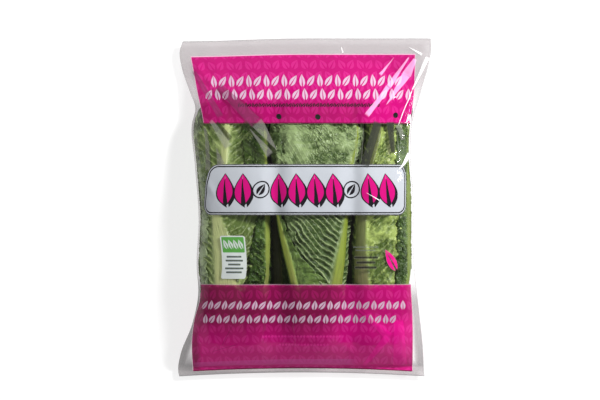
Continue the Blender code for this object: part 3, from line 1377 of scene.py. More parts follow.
MIDDLE_HEART = Heart(
    name="middle_heart",
    centre=((-139, 12), (-78, 13), (-19, 9.4), (36, 9.6), (80, 10.6), (120, 12)),
    half_width=((-139, 21), (-78, 28.5), (-19, 37.1), (36, 44), (80, 49.5), (120, 42)),
    roundness=3.0,
    leaves=(
        LeafPlan(
            "front_right", LeafTone.OUTER, tip=118,
            rib=((-139, 0.55), (-78, 0.70), (-44, 0.83), (-19, 0.885), (36, 0.86), (80, 0.88),
                 (118, 0.75)),
            left=((-139, -0.5), (-78, -0.75), (-19, -0.86), (36, -1.0), (80, -1.05), (118, -0.5)),
            right=((-139, 1.3), (-78, 1.5), (-19, 1.6), (80, 1.5), (118, 1.1)),
            layers=(0.88, 0.95, 0.93),
            rib_half=((-139, 12), (-78, 7.8), (-44, 6.8), (-19, 4.6), (36, 2.4), (80, 1.5), (118, 1)),
            light=((-139, 0.2), (-40, 0.3), (0, 0.4), (30, 0.65), (60, 0.74), (120, 0.7)),
            ridges=((-139, 2.4), (-5, 2.6), (45, 0.9), (118, 0.7)), vein_pitch=6.0, tilt=0.40,
            puckers=((-139, 0.5), (-10, 0.7), (40, 1.6), (118, 1.6)),
            crumple=((-139, 0.4), (0, 0.5), (40, 2.0), (80, 3.0), (118, 3.0)), ruffle=1.5, seed=31,
        ),
        LeafPlan(
            "front_left", LeafTone.SHADED, tip=104,
            rib=((-139, -0.55), (-78, -0.82), (-44, -0.88), (-19, -0.916), (36, -1.05), (80, -1.1),
                 (105, -1.0)),
            left=((-139, -1.2), (-78, -1.6), (-19, -2.0), (80, -1.9), (105, -1.5)),
            right=((-139, 0.75), (-100, 0.70), (-78, 0.44), (-61, -0.11), (-48, -0.49),
                   (-38, -0.62), (-28, -0.72), (-15, -0.80), (36, -0.99), (80, -1.0), (105, -0.9)),
            layers=(0.97, 1.0, 1.0),
            rib_half=((-139, 10), (-78, 5.8), (-44, 6.0), (-19, 4.0), (36, 2.8), (80, 2.0), (105, 1)),
            light=((-139, 0.55), (100, 0.5)),
            ridges=even(0.3), puckers=even(0.35), ruffle=1.8,
            crumple=((-139, 0.2), (40, 0.4), (105, 1.2)), seed=32,
        ),
        LeafPlan(
            "side_right", LeafTone.GREY, tip=112,
            detail=Detail.PLAIN,
            rib=((-139, 1.2), (-19, 1.5), (80, 1.3), (112, 1.2)),
            left=((-139, 1.0), (-19, 1.12), (20, 1.05), (36, 0.98), (80, 0.93), (112, 0.9)),
            right=((-139, 1.8), (-19, 2.2), (80, 2.1), (112, 1.8)),
            layers=(1.0, 1.0, 0.95),
            light=((-139, 0.4), (112, 0.5)),
            seed=33,
        ),
        *inner_leaves(seed=40, tip=127, lean=0.1),
    ),
)

RIGHT_HEART = Heart(
    name="right_heart",
    centre=((-139, 74), (-78, 76), (-19, 79), (36, 82), (80, 85), (120, 80)),
    half_width=((-139, 20), (-78, 28.6), (-19, 30.7), (36, 28), (80, 26), (120, 26)),
    leaves=(
        LeafPlan(
            "front_left", LeafTone.TAN, tip=106,
            rib=((-139, -0.5), (-78, -0.66), (-19, -0.72), (43, -0.6), (80, -0.45), (105, -0.4)),
            left=((-139, -1.2), (-78, -1.5), (-19, -1.7), (105, -1.3)),
            right=((-139, 0.45), (-78, 0.5), (-19, 0.6), (43, 0.3), (80, 0.25), (105, 0.2)),
            layers=(0.96, 1.0, 0.93),
            rib_half=((-139, 12), (-78, 10), (-19, 7), (43, 4), (80, 5), (105, 3)),
            light=((-139, 0.05), (-76, 0.05), (-58, 0.04), (-38, 0.30), (-19, 0.45), (20, 0.35), (50, 0.42),
                   (80, 0.35)),
            tilt=-0.40, ridges=even(0.9), puckers=((-139, 0.7), (0, 1.0), (43, 1.6), (105, 1.6)),
            crumple=((-139, 0.6), (40, 1.3), (105, 1.6)), seed=51,
        ),
        LeafPlan(
            "front_right", LeafTone.EDGE, tip=118,
            rib=((-139, 0.7), (-78, 0.93), (-63, 0.95), (-19, 0.84), (43, 0.81), (80, 0.8), (118, 0.6)),
            left=((-139, 0.5), (-78, 0.5), (-19, 0.46), (20, 0.5), (43, 0.3), (80, 0.3), (118, 0.2)),
            right=((-139, 1.6), (-19, 2.0), (118, 1.5)),
            layers=(0.99, 1.0, 0.97),
            rib_half=((-139, 8), (-78, 5), (-19, 5), (43, 4.5), (80, 3), (118, 1)),
            light=((-139, 0.15), (118, 0.15)),
            ridges=even(0.8), puckers=even(1.8), ruffle=2.2, crumple=even(1.8), seed=52,
        ),
        *inner_leaves(seed=60, tip=122, lean=-0.1),
    ),
)


def gap_leaf(name: str, centre: Curve, half_width: Curve, seed: int) -> Heart:
    """A loose outer leaf that lies deep in the gap between two hearts.

    Args:
        name: name of the piece.
        centre: the gap's line up the bag, in millimetres.
        half_width: the gap's half-width up the bag, in millimetres.
        seed: seed of the leaf's relief.

    Returns:
        A bundle that holds that leaf alone.
    """
    plan = LeafPlan(
        name="leaf",
        tone=LeafTone.DARK,
        detail=Detail.PLAIN,
        tip=108,
        rib=((-139, 2.0), (100, 2.0)),
        left=((-139, 1.15), (100, 1.05)),
        right=((-139, 2.85), (100, 2.95)),
        layers=(0.7, 0.7, 0.7),
        # Painted shade: the gap leaf keeps its darkest colour all the way up, which keeps the gap between
        # the hearts dark.
        light=((-139, 0.1), (100, 0.1)),
        seed=seed,
    )
    return Heart(name=name, centre=centre, half_width=half_width, leaves=(plan,))


GAP_LEAVES = (
    gap_leaf(
        "left_gap",
        ((-139, -26), (-78, -26.5), (-19, -30), (80, -36)),
        ((-139, 26), (-78, 20), (-19, 12), (80, 8)),
        seed=71,
    ),
    gap_leaf(
        "right_gap",
        ((-139, 45), (-78, 44.4), (-19, 47.7), (36, 56), (80, 62)),
        ((-139, 20), (-78, 12), (-19, 8), (80, 8)),
        seed=72,
    ),
)


@dataclass(frozen=True)
class HeartBuilder:
    """Builds a heart's leaves and stem, the plain leaves joined into one piece."""

    bag: BagForm
    leaf_materials: dict[LeafTone, Material]
    stem_material: Material

    def build(self, heart: Heart, with_stem: bool = True) -> list[Piece]:
        """Builds every leaf of a heart, hands its pieces over and returns them.

        Args:
            heart: the heart.
            with_stem: whether it has a stem.

        Returns:
            The pieces.
        """
        pieces = []
        plain = []
        for plan in heart.leaves:
            leaf = RomaineLeaf(heart, plan, self.bag).build(self.leaf_materials[plan.tone])
            (pieces if plan.detail is Detail.FINE else plain).append(leaf)
        pieces.append(joined(plain, f"{heart.name}_inner"))
        if with_stem:
            pieces.append(Stem(heart, self.bag).build(self.stem_material))
        for piece in pieces:
            hand_over(piece)
        return pieces


@dataclass(frozen=True)
class PaintedFacetLight:
    """Painted light on a fold's facet, a painted reflection, highlight or shade: its colour and how much of
    it shows.
    """

    colour: Colour
    cover: float


# The colours below are painted light on the folds' facets: grey and pale painted reflections, pink, white
# and magenta painted highlights, a purple painted sheen, and dark painted shade.
PAINTED_GREY_REFLECTION = PaintedFacetLight((0.19, 0.185, 0.17), 0.52)
PAINTED_PALE_REFLECTION = PaintedFacetLight((0.27, 0.28, 0.24), 0.38)
PAINTED_BAND_SHADE = PaintedFacetLight((0.15, 0.030, 0.080), 0.55)
PAINTED_GAP_SHADE = PaintedFacetLight((0.020, 0.026, 0.012), 0.62)
SHADE_VEIL = PaintedFacetLight((0.034, 0.036, 0.030), 0.80)
PAINTED_PINK_HIGHLIGHT = PaintedFacetLight((1.0, 0.50, 0.82), 0.55)
PAINTED_WHITE_HIGHLIGHT = PaintedFacetLight((1.0, 1.0, 1.0), 0.82)
PAINTED_PURPLE_SHEEN = PaintedFacetLight((0.52, 0.085, 0.32), 0.42)
PAINTED_MAGENTA_HIGHLIGHT = PaintedFacetLight((0.86, 0.010, 0.31), 0.36)
PAINTED_DARK_SHADE = PaintedFacetLight((0.02, 0.008, 0.014), 0.35)


@dataclass(frozen=True)
class Fold:
    """A straight fold in the film, with a facet that may carry a painted reflection, highlight or shade.
    Lengths in millimetres.
    """

    start: tuple[float, float]
    end: tuple[float, float]
    half_widths: tuple[float, float]
    height: float
    painted_light: PaintedFacetLight | None = None

    FLANK: ClassVar[tuple[float, float]] = (1.8, 1.5)
    START_FADE: ClassVar[tuple[float, float]] = (-0.02, 0.2)
    END_FADE: ClassVar[tuple[float, float]] = (1.05, 0.75)

    @property
    def length(self) -> float:
        """Length of the fold."""
        return float(np.hypot(self.end[0] - self.start[0], self.end[1] - self.start[1]))

    @property
    def run(self) -> tuple[float, float]:
        """Unit step along the fold."""
        (x0, y0), (x1, y1) = self.start, self.end
        return (x1 - x0) / self.length, (y1 - y0) / self.length

    def relief(self, x: Array, y: Array) -> Array:
        """Height of the fold at each place: two flat facets that meet in a line.

        Args:
            x: places across.
            y: places up.

        Returns:
            The heights.
        """
        over, up = x - self.start[0], y - self.start[1]
        run_x, run_y = self.run
        along = (over * run_x + up * run_y) / self.length
        off = over * run_y - up * run_x
        first, last = self.half_widths
        least, widths = self.FLANK
        reach = least + widths * (first + (last - first) * np.clip(along, 0.0, 1.0))
        fade = ease(*self.START_FADE, along) * ease(*self.END_FADE, along)
        return self.height * np.clip(1 - np.abs(off) / reach, 0.0, 1.0) * fade


# Folds of the front sheet, each with a real relief; those given a colour also carry painted light on their
# facet.
FOLDS = (
    Fold((-69.7, 86), (-33.2, 54), (5.0, 2.2), 0.8, PAINTED_GAP_SHADE),
    Fold((-99, 86), (-82, 68), (2.4, 2.8), 0.6, PAINTED_GAP_SHADE),
    Fold((-71, 66), (-44, 44), (5.5, 4.0), 0.6, PAINTED_GAP_SHADE),
    Fold((74, 87), (56, 40), (4.6, 4.4), 0.6, SHADE_VEIL),
    Fold((87.5, 87), (89, 54), (4.6, 2.6), 0.6, SHADE_VEIL),
    Fold((-90, 124), (-54, 84), (4.4, 7.2), 2.0, PAINTED_BAND_SHADE),
    Fold((-55, 86), (-33, 57), (7.0, 0.3), 1.2, PAINTED_GREY_REFLECTION),
    Fold((-113, 141), (-92, 90), (2.4, 3.8), 1.2, PAINTED_BAND_SHADE),
    Fold((-105, 88), (-84, 60), (2.4, 4.4), 1.6, PAINTED_PALE_REFLECTION),
    Fold((-63, 80), (-40, 52), (0.3, 4.4), 1.2, PAINTED_GREY_REFLECTION),
    Fold((-112, 82), (-104, 36), (2.0, 3.4), 1.0, PAINTED_GREY_REFLECTION),
    Fold((-98, 60), (-90, 42), (0.5, 4.4), 0.8, PAINTED_GREY_REFLECTION),
    Fold((97, 84), (103, 68), (3.6, 3.0), 0.3, PAINTED_PALE_REFLECTION),
    Fold((92, 153), (76, 134), (0.2, 1.9), 0.8, PAINTED_PINK_HIGHLIGHT),
    Fold((107, 153), (84, 121), (0.8, 3.0), 1.9, PAINTED_PINK_HIGHLIGHT),
    Fold((85, 123), (61, 92), (2.6, 2.9), 1.6, PAINTED_PINK_HIGHLIGHT),
    Fold((113, 151), (104, 134), (1.8, 5.2), 1.4, PAINTED_PINK_HIGHLIGHT),
    Fold((105, 136), (82, 103), (4.8, 0.4), 1.2, PAINTED_PINK_HIGHLIGHT),
    Fold((126, 153), (110, 118), (2.4, 0.7), 1.9, PAINTED_WHITE_HIGHLIGHT),
    Fold((110.5, 119), (97, 82), (0.7, 0.5), 1.4, PAINTED_WHITE_HIGHLIGHT),
    Fold((38.5, 163), (40, 157), (0.4, 0.9), 0.6, PAINTED_WHITE_HIGHLIGHT),
    Fold((106, 163), (120, 155), (0.3, 1.4), 0.8, PAINTED_WHITE_HIGHLIGHT),
    Fold((112, 54), (93, 38), (3.4, 0.5), 1.4, PAINTED_WHITE_HIGHLIGHT),
    Fold((51, 84), (47.5, 46), (0.5, 0.8), 0.5, PAINTED_PALE_REFLECTION),
    Fold((58, 81), (54, 46), (0.4, 0.6), 0.5, PAINTED_PALE_REFLECTION),
    Fold((95, 84), (96, 46), (0.4, 0.7), 0.8, PAINTED_PALE_REFLECTION),
    Fold((60, 15), (74, 7), (0.3, 0.7), 0.8, PAINTED_WHITE_HIGHLIGHT),
    Fold((-116, -160.5), (60, -159.5), (2.6, 3.6), 0.8, PAINTED_PURPLE_SHEEN),
    Fold((-81, -140), (-68, -118), (0.6, 0.6), 0.8, PAINTED_DARK_SHADE),
    Fold((-92, -147), (-64, -139), (0.5, 0.7), 0.8, PAINTED_DARK_SHADE),
    Fold((100, -163), (96, -112), (7.5, 5.0), 1.2, PAINTED_MAGENTA_HIGHLIGHT),
    Fold((54, -100), (88, -132), (0.6, 5.0), 1.2, PAINTED_MAGENTA_HIGHLIGHT),
    Fold((86, -130), (62, -164), (4.0, 2.0), 1.0, PAINTED_MAGENTA_HIGHLIGHT),
    Fold((-121, -150), (-84, -116), (3.0, 4.0), 1.4),
    Fold((60, -160), (34, -132), (3.0, 3.6), 1.1),
    Fold((-20, -160), (0, -136), (3.0, 3.6), 1.0),
    Fold((-112, 146), (-92, 122), (3.0, 3.4), 1.4),
    Fold((-104, 34), (-88, 8), (2.4, 2.0), 0.8),
)


class Side(Enum):
    """The two printed sides of the film."""

    FRONT = "front"
    BACK = "back"


@dataclass(frozen=True)
class InkColours:
    """Linear colours of the film and its inks."""

    clear: Colour = (0.53, 0.470, 0.485)
    # Below, the clear film, the magenta and the light magenta each have a darker copy, used as painted
    # shade; the darker magenta also prints the thin strip along each band's foot.
    shaded_clear: Colour = (0.10, 0.096, 0.094)
    magenta: Colour = (0.60, 0.002, 0.195)
    shaded_and_foot_magenta: Colour = (0.17, 0.004, 0.050)
    light_magenta: Colour = (0.74, 0.026, 0.30)
    shaded_light_magenta: Colour = (0.30, 0.008, 0.10)
    pale: Colour = (0.54, 0.37, 0.49)
    rim: Colour = (0.80, 0.42, 0.60)
    silver: Colour = (0.40, 0.42, 0.455)
    black: Colour = (0.012, 0.011, 0.014)
    deep_magenta: Colour = (0.47, 0.006, 0.15)
    white: Colour = (0.52, 0.555, 0.54)
    green: Colour = (0.082, 0.275, 0.055)
    grey: Colour = (0.10, 0.12, 0.13)


class PrintPlan:
    """Lays inks on one side of the film, in millimetres across and up the flat film."""

    SOFT = 0.22

    def __init__(self, g: Graph, effects: Effects, colour: object, cover: object) -> None:
        """Starts from the bare film's colour and cover, with the print's own map.

        Args:
            g: the material's graph.
            effects: the shared node groups.
            colour: colour of the bare film.
            cover: how much of the bare film shows.
        """
        self.g = g
        self.effects = effects
        self.colour = colour
        self.cover = cover
        chart = g.add("ShaderNodeUVMap", uv_map="print_map").outputs["UV"]
        feeds = {0: chart, "Scale": FilmSkin.CHART_UNIT}
        scaled = g.add("ShaderNodeVectorMath", feeds, operation="SCALE").outputs["Vector"]
        self.x, self.y, _ = g.split(scaled)

    def from_place(self, x: float, y: float) -> tuple[Socket, Socket]:
        """Coordinates measured from a place on the film."""
        return self.g.minus(self.x, x), self.g.minus(self.y, y)

    def distance(self, x: float, y: float, half_width: float, half_height: float, corner: float) -> Socket:
        """Distance outside a rounded panel.

        Args:
            x: its middle, across.
            y: its middle, up.
            half_width: half its width.
            half_height: half its height.
            corner: radius of its corners.

        Returns:
            The distance.
        """
        over, up = self.from_place(x, y)
        size = {"Half_Width": half_width, "Half_Height": half_height, "Corner": corner}
        return self.g.effect(self.effects.panel, X=over, Y=up, **size)["Distance"]

    def inside(self, distance: Socket, grow: float = 0.0) -> Socket:
        """Mask of what is inside a panel that is grown by some millimetres."""
        return self.g.step(distance, grow + self.SOFT, grow - self.SOFT)

    def leaves(self, x: float, y: float, pitch: float, length: float, width: float,
               lean: float = 0.0, slant: float = 0.0, rib: float = 0.3) -> Socket:
        """Mask of a row of printed leaves."""
        return self.leaves_at(self.from_place(x, y), pitch, length, width, lean, slant, rib)

    def leaves_at(self, place: tuple[Socket, Socket], pitch: float, length: float, width: float,
                  lean: float, slant: float, rib: float) -> Socket:
        """Mask of a row of printed leaves in given coordinates.

        Args:
            place: the coordinates.
            pitch: distance from leaf to leaf.
            length: half a leaf's length.
            width: half a leaf's width.
            lean: turn to the left and the right by turns.
            slant: turn of them all.
            rib: half a rib's width.

        Returns:
            The mask.
        """
        shape = {"Pitch": pitch, "Length": length, "Width": width, "Lean": lean, "Slant": slant, "Rib": rib}
        row = self.g.effect(self.effects.leaf_row, X=place[0], Y=place[1], Edge=self.SOFT, **shape)
        return row["Mask"]

    def leaf(self, x: float, y: float, length: float, width: float, slant: float) -> Socket:
        """Mask of a single printed leaf.

        Args:
            x: its middle, across.
            y: its middle, up.
            length: half its length.
            width: half its width.
            slant: its turn.

        Returns:
            The mask.
        """
        alone = self.inside(self.distance(x, y, length, length, 0.5))
        row = self.leaves(x - length * 2, y, length * 4, length, width, slant=slant, rib=0.12 * width)
        return self.within(alone, row)

    def within(self, *masks: Socket) -> Socket:
        """Where all of the masks are.

        Args:
            masks: the masks.

        Returns:
            The mask.
        """
        share = masks[0]
        for mask in masks[1:]:
            share = self.g.times(share, mask)
        return share

    def ink(self, mask: Socket, colour: object, cover: float) -> None:
        """Prints one ink where the mask is."""
        self.colour = self.g.blend(mask, self.colour, colour)
        self.cover = self.g.lerp(mask, self.cover, cover)

    def fold(self, fold: Fold) -> None:
        """Lays a fold's painted reflection, highlight or shade over what is printed so far.

        Args:
            fold: a fold with painted light on its facet.
        """
        g = self.g
        over, up = self.from_place(*fold.start)
        run_x, run_y = fold.run
        start, end = fold.half_widths
        facet = g.effect(
            self.effects.facet, X=over, Y=up, Run_X=run_x, Run_Y=run_y, Length=fold.length,
            Start_Width=start, End_Width=end,
        )
        share = g.times(facet["Mask"], fold.painted_light.cover)
        bare = g.times(g.minus(1.0, self.cover), g.minus(1.0, share))
        self.cover = g.minus(1.0, bare)
        self.colour = g.blend(g.math("DIVIDE", share, self.cover), self.colour, fold.painted_light.colour)


@dataclass(frozen=True)
class FilmPrint:
    """The printed clear film: its inks, where they are and how glossy it is. Lengths in mm."""

    inks: InkColours = InkColours()
    haze: tuple[float, float] = (0.005, 0.38)
    haze_behind: float = 0.2
    top_band: tuple[float, float] = (84.7, 155.0)
    bottom_band: tuple[float, float] = (-167.2, -77.6)
    band_half_width: float = 112.5
    band_corner: float = 0.5
    band_cover: float = 0.87
    rim_shift: float = 0.9
    rim_covers: tuple[float, float] = (0.6, 0.3)
    foot_half_height: float = 0.5
    pattern_pitch: tuple[float, float] = (9.4, 11.6)
    pattern_shift: float = 4.3
    pattern_leaf: tuple[float, float] = (5.4, 3.4)
    pattern_share: float = 0.6
    vents: tuple[tuple[float, float], ...] = ((-30.4, 91.6), (10.2, 91.1), (93.6, 93.2))
    vent_radius: float = 2.8
    row_lean: float = 0.3
    row_rib: float = 0.13
    panel_place: tuple[float, float] = (0.0, 18.0)
    panel_size: tuple[float, float] = (101.5, 23.8)
    panel_corner: float = 0.36
    garland_size: tuple[float, float] = (90.0, 21.0)
    garland_pitch: float = 18.0
    garland_leaf: tuple[float, float] = (15.8, 7.6)
    garland_slant: float = -0.18
    garland_rib: float = 1.3
    garland_shadow: float = 2.4
    badge_offset: float = 45.0
    badge_room: float = 9.0
    badge_radius: float = 8.8
    badge_leaf: tuple[float, float, float] = (6.6, 3.8, 0.5)
    tag_place: tuple[float, float] = (-73.0, -49.8)
    tag_size: tuple[float, float] = (12.6, 21.6)
    tag_corner: float = 2.2
    tag_field_rise: float = 12.6
    tag_field_size: tuple[float, float] = (11.2, 7.8)
    tag_rules: tuple[float, ...] = (7.5, 8.8, 6.4, 9.4, 8.0)
    tag_rule_pitch: float = 3.9
    mark_middle: float = 61.0
    faint_rules: tuple[tuple[float, float], ...] = ((-39.6, 12.5), (-42.8, 10.0))
    dark_rules: tuple[float, ...] = (12.0, 9.5, 11.0)
    dark_rule_pitch: float = 5.0
    roughness: float = 0.5
    crinkle_size: float = 70.0
    crinkle_stretch: float = 1.4
    crinkle_strength: float = 0.22
    crinkle_depth: float = 0.0006
    gloss_roughness: float = 0.05
    gloss_bend: float = 1.38
    gloss_share: float = 0.75

    def _bare(self, g: Graph) -> tuple[Socket, Socket]:
        """Colour and cover of the film before it is printed: hazier where it hangs loose, darker and hazier
        under painted shade.

        Args:
            g: the material's graph.

        Returns:
            The colour and the cover.
        """
        # Painted shade: the stored mark darkens the bare film and, where it hangs loose, thickens its haze.
        behind, loose = g.noted("behind"), g.noted("loose")
        haze = g.plus(g.lerp(loose, *self.haze), g.times(behind, g.times(loose, self.haze_behind)))
        return g.blend(behind, self.inks.clear, self.inks.shaded_clear), haze

    def _bands(self, p: PrintPlan) -> None:
        """The two magenta bands with a tone-on-tone pattern of leaves.

        Args:
            p: the print so far.
        """
        g, inks = p.g, self.inks
        # Painted shade: the stored mark turns the magenta and its leaf pattern towards their darker copies.
        behind = g.noted("behind")
        magenta = g.blend(behind, inks.magenta, inks.shaded_and_foot_magenta)
        light = g.blend(behind, inks.light_magenta, inks.shaded_light_magenta)
        pitch, row_pitch = self.pattern_pitch
        up = g.plus(g.math("FLOORED_MODULO", p.y, row_pitch), -row_pitch / 2)
        row = g.math("FLOOR", g.math("DIVIDE", p.y, row_pitch))
        over = g.plus(p.x, g.times(row, self.pattern_shift))
        pattern = p.leaves_at((over, up), pitch, *self.pattern_leaf, 0.5, 0.0, 0.5)
        for (low, high), rim_cover in zip((self.top_band, self.bottom_band), self.rim_covers):
            middle, half_height = (low + high) / 2, (high - low) / 2
            edge = p.distance(0.0, middle, self.band_half_width, half_height, self.band_corner)
            wider = self.band_half_width + 0.5
            rim = p.distance(0.0, middle + self.rim_shift, wider, half_height, self.band_corner)
            p.ink(p.inside(rim), inks.rim, rim_cover)
            band = p.inside(edge)
            p.ink(band, magenta, self.band_cover)
            p.ink(g.times(p.within(band, pattern), self.pattern_share), light, 0.86)
            foot_middle = low + self.foot_half_height
            foot = p.distance(0.0, foot_middle, self.band_half_width, self.foot_half_height, 0.3)
            p.ink(p.inside(foot), inks.shaded_and_foot_magenta, 0.92)

    def _row(self, p: PrintPlan, place: tuple[float, float], half_width: float, leaf: tuple[float, float],
             pitch: float, ink: tuple[Colour, float]) -> None:
        """Prints a row of leaves.

        Args:
            p: the print so far.
            place: middle of the row.
            half_width: half the row's width.
            leaf: half-length and half-width of a leaf.
            pitch: distance from leaf to leaf.
            ink: colour and cover.
        """
        length, width = leaf
        row = p.inside(p.distance(*place, half_width, length + 2.0, 1.0))
        leaves = p.leaves(*place, pitch, length, width, self.row_lean, self.row_lean, self.row_rib * width)
        p.ink(p.within(row, leaves), *ink)

    def _rows(self, p: PrintPlan) -> None:
        """Rows of leaves where a pack names its contents and its maker.

        Args:
            p: the print so far.
        """
        headline = (self.inks.pale, 0.97)
        line = (self.inks.pale, 0.84)
        dim = (self.inks.light_magenta, 0.86)
        self._row(p, (1.0, 128.2), 99.0, (6.8, 2.8), 9.0, headline)
        self._row(p, (3.0, 114.2), 108.0, (6.4, 2.8), 9.0, headline)
        self._row(p, (2.0, 103.2), 73.5, (2.7, 1.5), 3.5, (self.inks.black, 0.92))
        self._row(p, (0.0, -98.0), 105.0, (5.0, 2.6), 7.5, line)
        self._row(p, (-3.0, -112.2), 97.5, (5.0, 2.6), 7.5, line)
        self._row(p, (0.8, -131.0), 41.0, (1.8, 1.0), 3.2, dim)
        self._row(p, (1.0, -140.4), 26.0, (1.8, 1.0), 3.2, dim)

    def _panel(self, p: PrintPlan) -> None:
        """A long silver panel with a double edge, a garland of big leaves and two round badges.

        Args:
            p: the print so far.
        """
        x, y = self.panel_place
        black, silver = (self.inks.black, 0.97), (self.inks.silver, 0.97)
        edge = p.distance(x, y, *self.panel_size, self.panel_size[1] * self.panel_corner)
        p.ink(p.inside(edge, 1.8), self.inks.black, 0.9)
        p.ink(p.inside(edge, 1.0), self.inks.silver, 0.95)
        p.ink(p.inside(edge, 0.0), *black)
        p.ink(p.inside(edge, -1.3), *silver)
        badges = [(x - self.badge_offset, y), (x + self.badge_offset, y)]
        magenta = (self.inks.deep_magenta, 0.97)
        for shift, grow, ink in ((self.garland_shadow, 0.8, black), (0.0, 1.2, black), (0.0, 0.0, magenta)):
            p.ink(self._garland(p, badges, shift, grow), *ink)
        for place in badges:
            badge = p.distance(*place, self.badge_radius, self.badge_radius, self.badge_radius)
            p.ink(p.inside(badge), *black)
            p.ink(p.inside(badge, -1.4), *silver)
            p.ink(p.leaf(*place, *self.badge_leaf), *black)

    def _garland(self, p: PrintPlan, badges: list[tuple[float, float]], shift: float, grow: float) -> Socket:
        """Mask of the panel's big leaves, which leave room for the badges.

        Args:
            p: the print so far.
            badges: the middles of the badges.
            shift: how far the leaves are moved to the right and down.
            grow: how much larger than the top layer the leaves are.

        Returns:
            The mask.
        """
        x, y = self.panel_place
        half_width, half_height = self.garland_size
        body = p.inside(p.distance(x + shift, y, half_width, half_height, 1.0))
        for badge_x, _ in badges:
            badge = p.inside(p.distance(badge_x + shift, y, self.badge_room, half_height, 1.0))
            body = p.g.times(body, p.g.minus(1.0, badge))
        length, width = (size + grow for size in self.garland_leaf)
        look = {"slant": self.garland_slant, "rib": self.garland_rib - grow}
        return p.within(body, p.leaves(x + shift, y - shift, self.garland_pitch, length, width, **look))

    def _tag(self, p: PrintPlan) -> None:
        """A small white tag with a green field and grey rules.

        Args:
            p: the print so far.
        """
        x, y = self.tag_place
        p.ink(p.inside(p.distance(x, y, *self.tag_size, self.tag_corner)), self.inks.white, 0.93)
        field = p.distance(x, y + self.tag_field_rise, *self.tag_field_size, 1.0)
        p.ink(p.inside(field), self.inks.green, 0.93)
        sprig = p.leaves(x, y + self.tag_field_rise + 0.2, 5.0, 5.4, 2.1, slant=-0.35)
        p.ink(p.within(p.inside(field, -1.0), sprig), self.inks.white, 0.9)
        for count, half in enumerate(self.tag_rules):
            rule = p.inside(p.distance(x, y + 0.6 - self.tag_rule_pitch * count, half, 0.95, 0.6))
            p.ink(rule, self.inks.grey, 0.75)

    def _mark(self, p: PrintPlan) -> None:
        """Dark rules and a small magenta sprig across from the tag.

        Args:
            p: the print so far.
        """
        for up, half in self.faint_rules:
            p.ink(p.inside(p.distance(self.mark_middle - 0.5, up, half, 0.45, 0.4)), self.inks.grey, 0.62)
        for count, half in enumerate(self.dark_rules):
            up = -50.0 - self.dark_rule_pitch * count
            p.ink(p.inside(p.distance(self.mark_middle, up, half, 1.1, 1.0)), self.inks.black, 0.8)
        p.ink(p.leaf(87.0, -53.0, 13.0, 4.6, -0.55), self.inks.magenta, 0.9)

    def _vents(self, p: PrintPlan) -> None:
        """The dark discs of the vent holes.

        Args:
            p: the print so far.
        """
        for x, y in self.vents:
            edge = p.distance(x, y, self.vent_radius, self.vent_radius, self.vent_radius)
            p.ink(p.inside(edge), self.inks.black, 0.82)

    def _folds(self, p: PrintPlan) -> None:
        """The painted reflections, highlights and shade on the facets of the film's folds.

        Args:
            p: the print so far.
        """
        for fold in FOLDS:
            if fold.painted_light is not None:
                p.fold(fold)

    def _coated(self, g: Graph, film: Socket, normal: Socket) -> Socket:
        """Adds the film's gloss, which only its outer face shows.

        Args:
            g: the material's graph.
            film: the shader of the inks and the clear film.
            normal: normals of the crinkled film.

        Returns:
            The finished shader.
        """
        gloss = g.add("ShaderNodeBsdfGlossy", {"Roughness": self.gloss_roughness, "Normal": normal})
        bend = g.add("ShaderNodeFresnel", {"IOR": self.gloss_bend, "Normal": normal})
        facing = g.minus(self.gloss_share, g.add("ShaderNodeNewGeometry").outputs["Backfacing"])
        shine = g.times(bend.outputs["Fac"], g.math("MAXIMUM", facing, 0.0))
        return g.mixed(shine, film, gloss.outputs["BSDF"])

    def material(self, side: Side, effects: Effects) -> Material:
        """Builds the film's material for one side.

        Args:
            side: the front or the back.
            effects: the shared node groups.

        Returns:
            The material.
        """
        material, g, shader, output = new_material(f"film_{side.value}")
        p = PrintPlan(g, effects, *self._bare(g))
        self._bands(p)
        if side is Side.FRONT:
            for lay in (self._rows, self._panel, self._tag, self._mark, self._vents, self._folds):
                lay(p)
        place = g.add("ShaderNodeTexCoord").outputs["Object"]
        creases = {"Size": self.crinkle_size, "Stretch": self.crinkle_stretch}
        crinkle = g.effect(effects.crinkle, Place=place, **creases)["Height"]
        normal = g.bump(crinkle, self.crinkle_strength, self.crinkle_depth)
        g.wire(shader, {"Base Color": p.colour, "Roughness": self.roughness, "Normal": normal})
        shader.inputs["Specular IOR Level"].default_value = 0.0
        clear = g.add("ShaderNodeBsdfTransparent").outputs["BSDF"]
        film = g.mixed(p.cover, clear, shader.outputs["BSDF"])
        g.feed(output.inputs["Surface"], self._coated(g, film, normal))
        return material


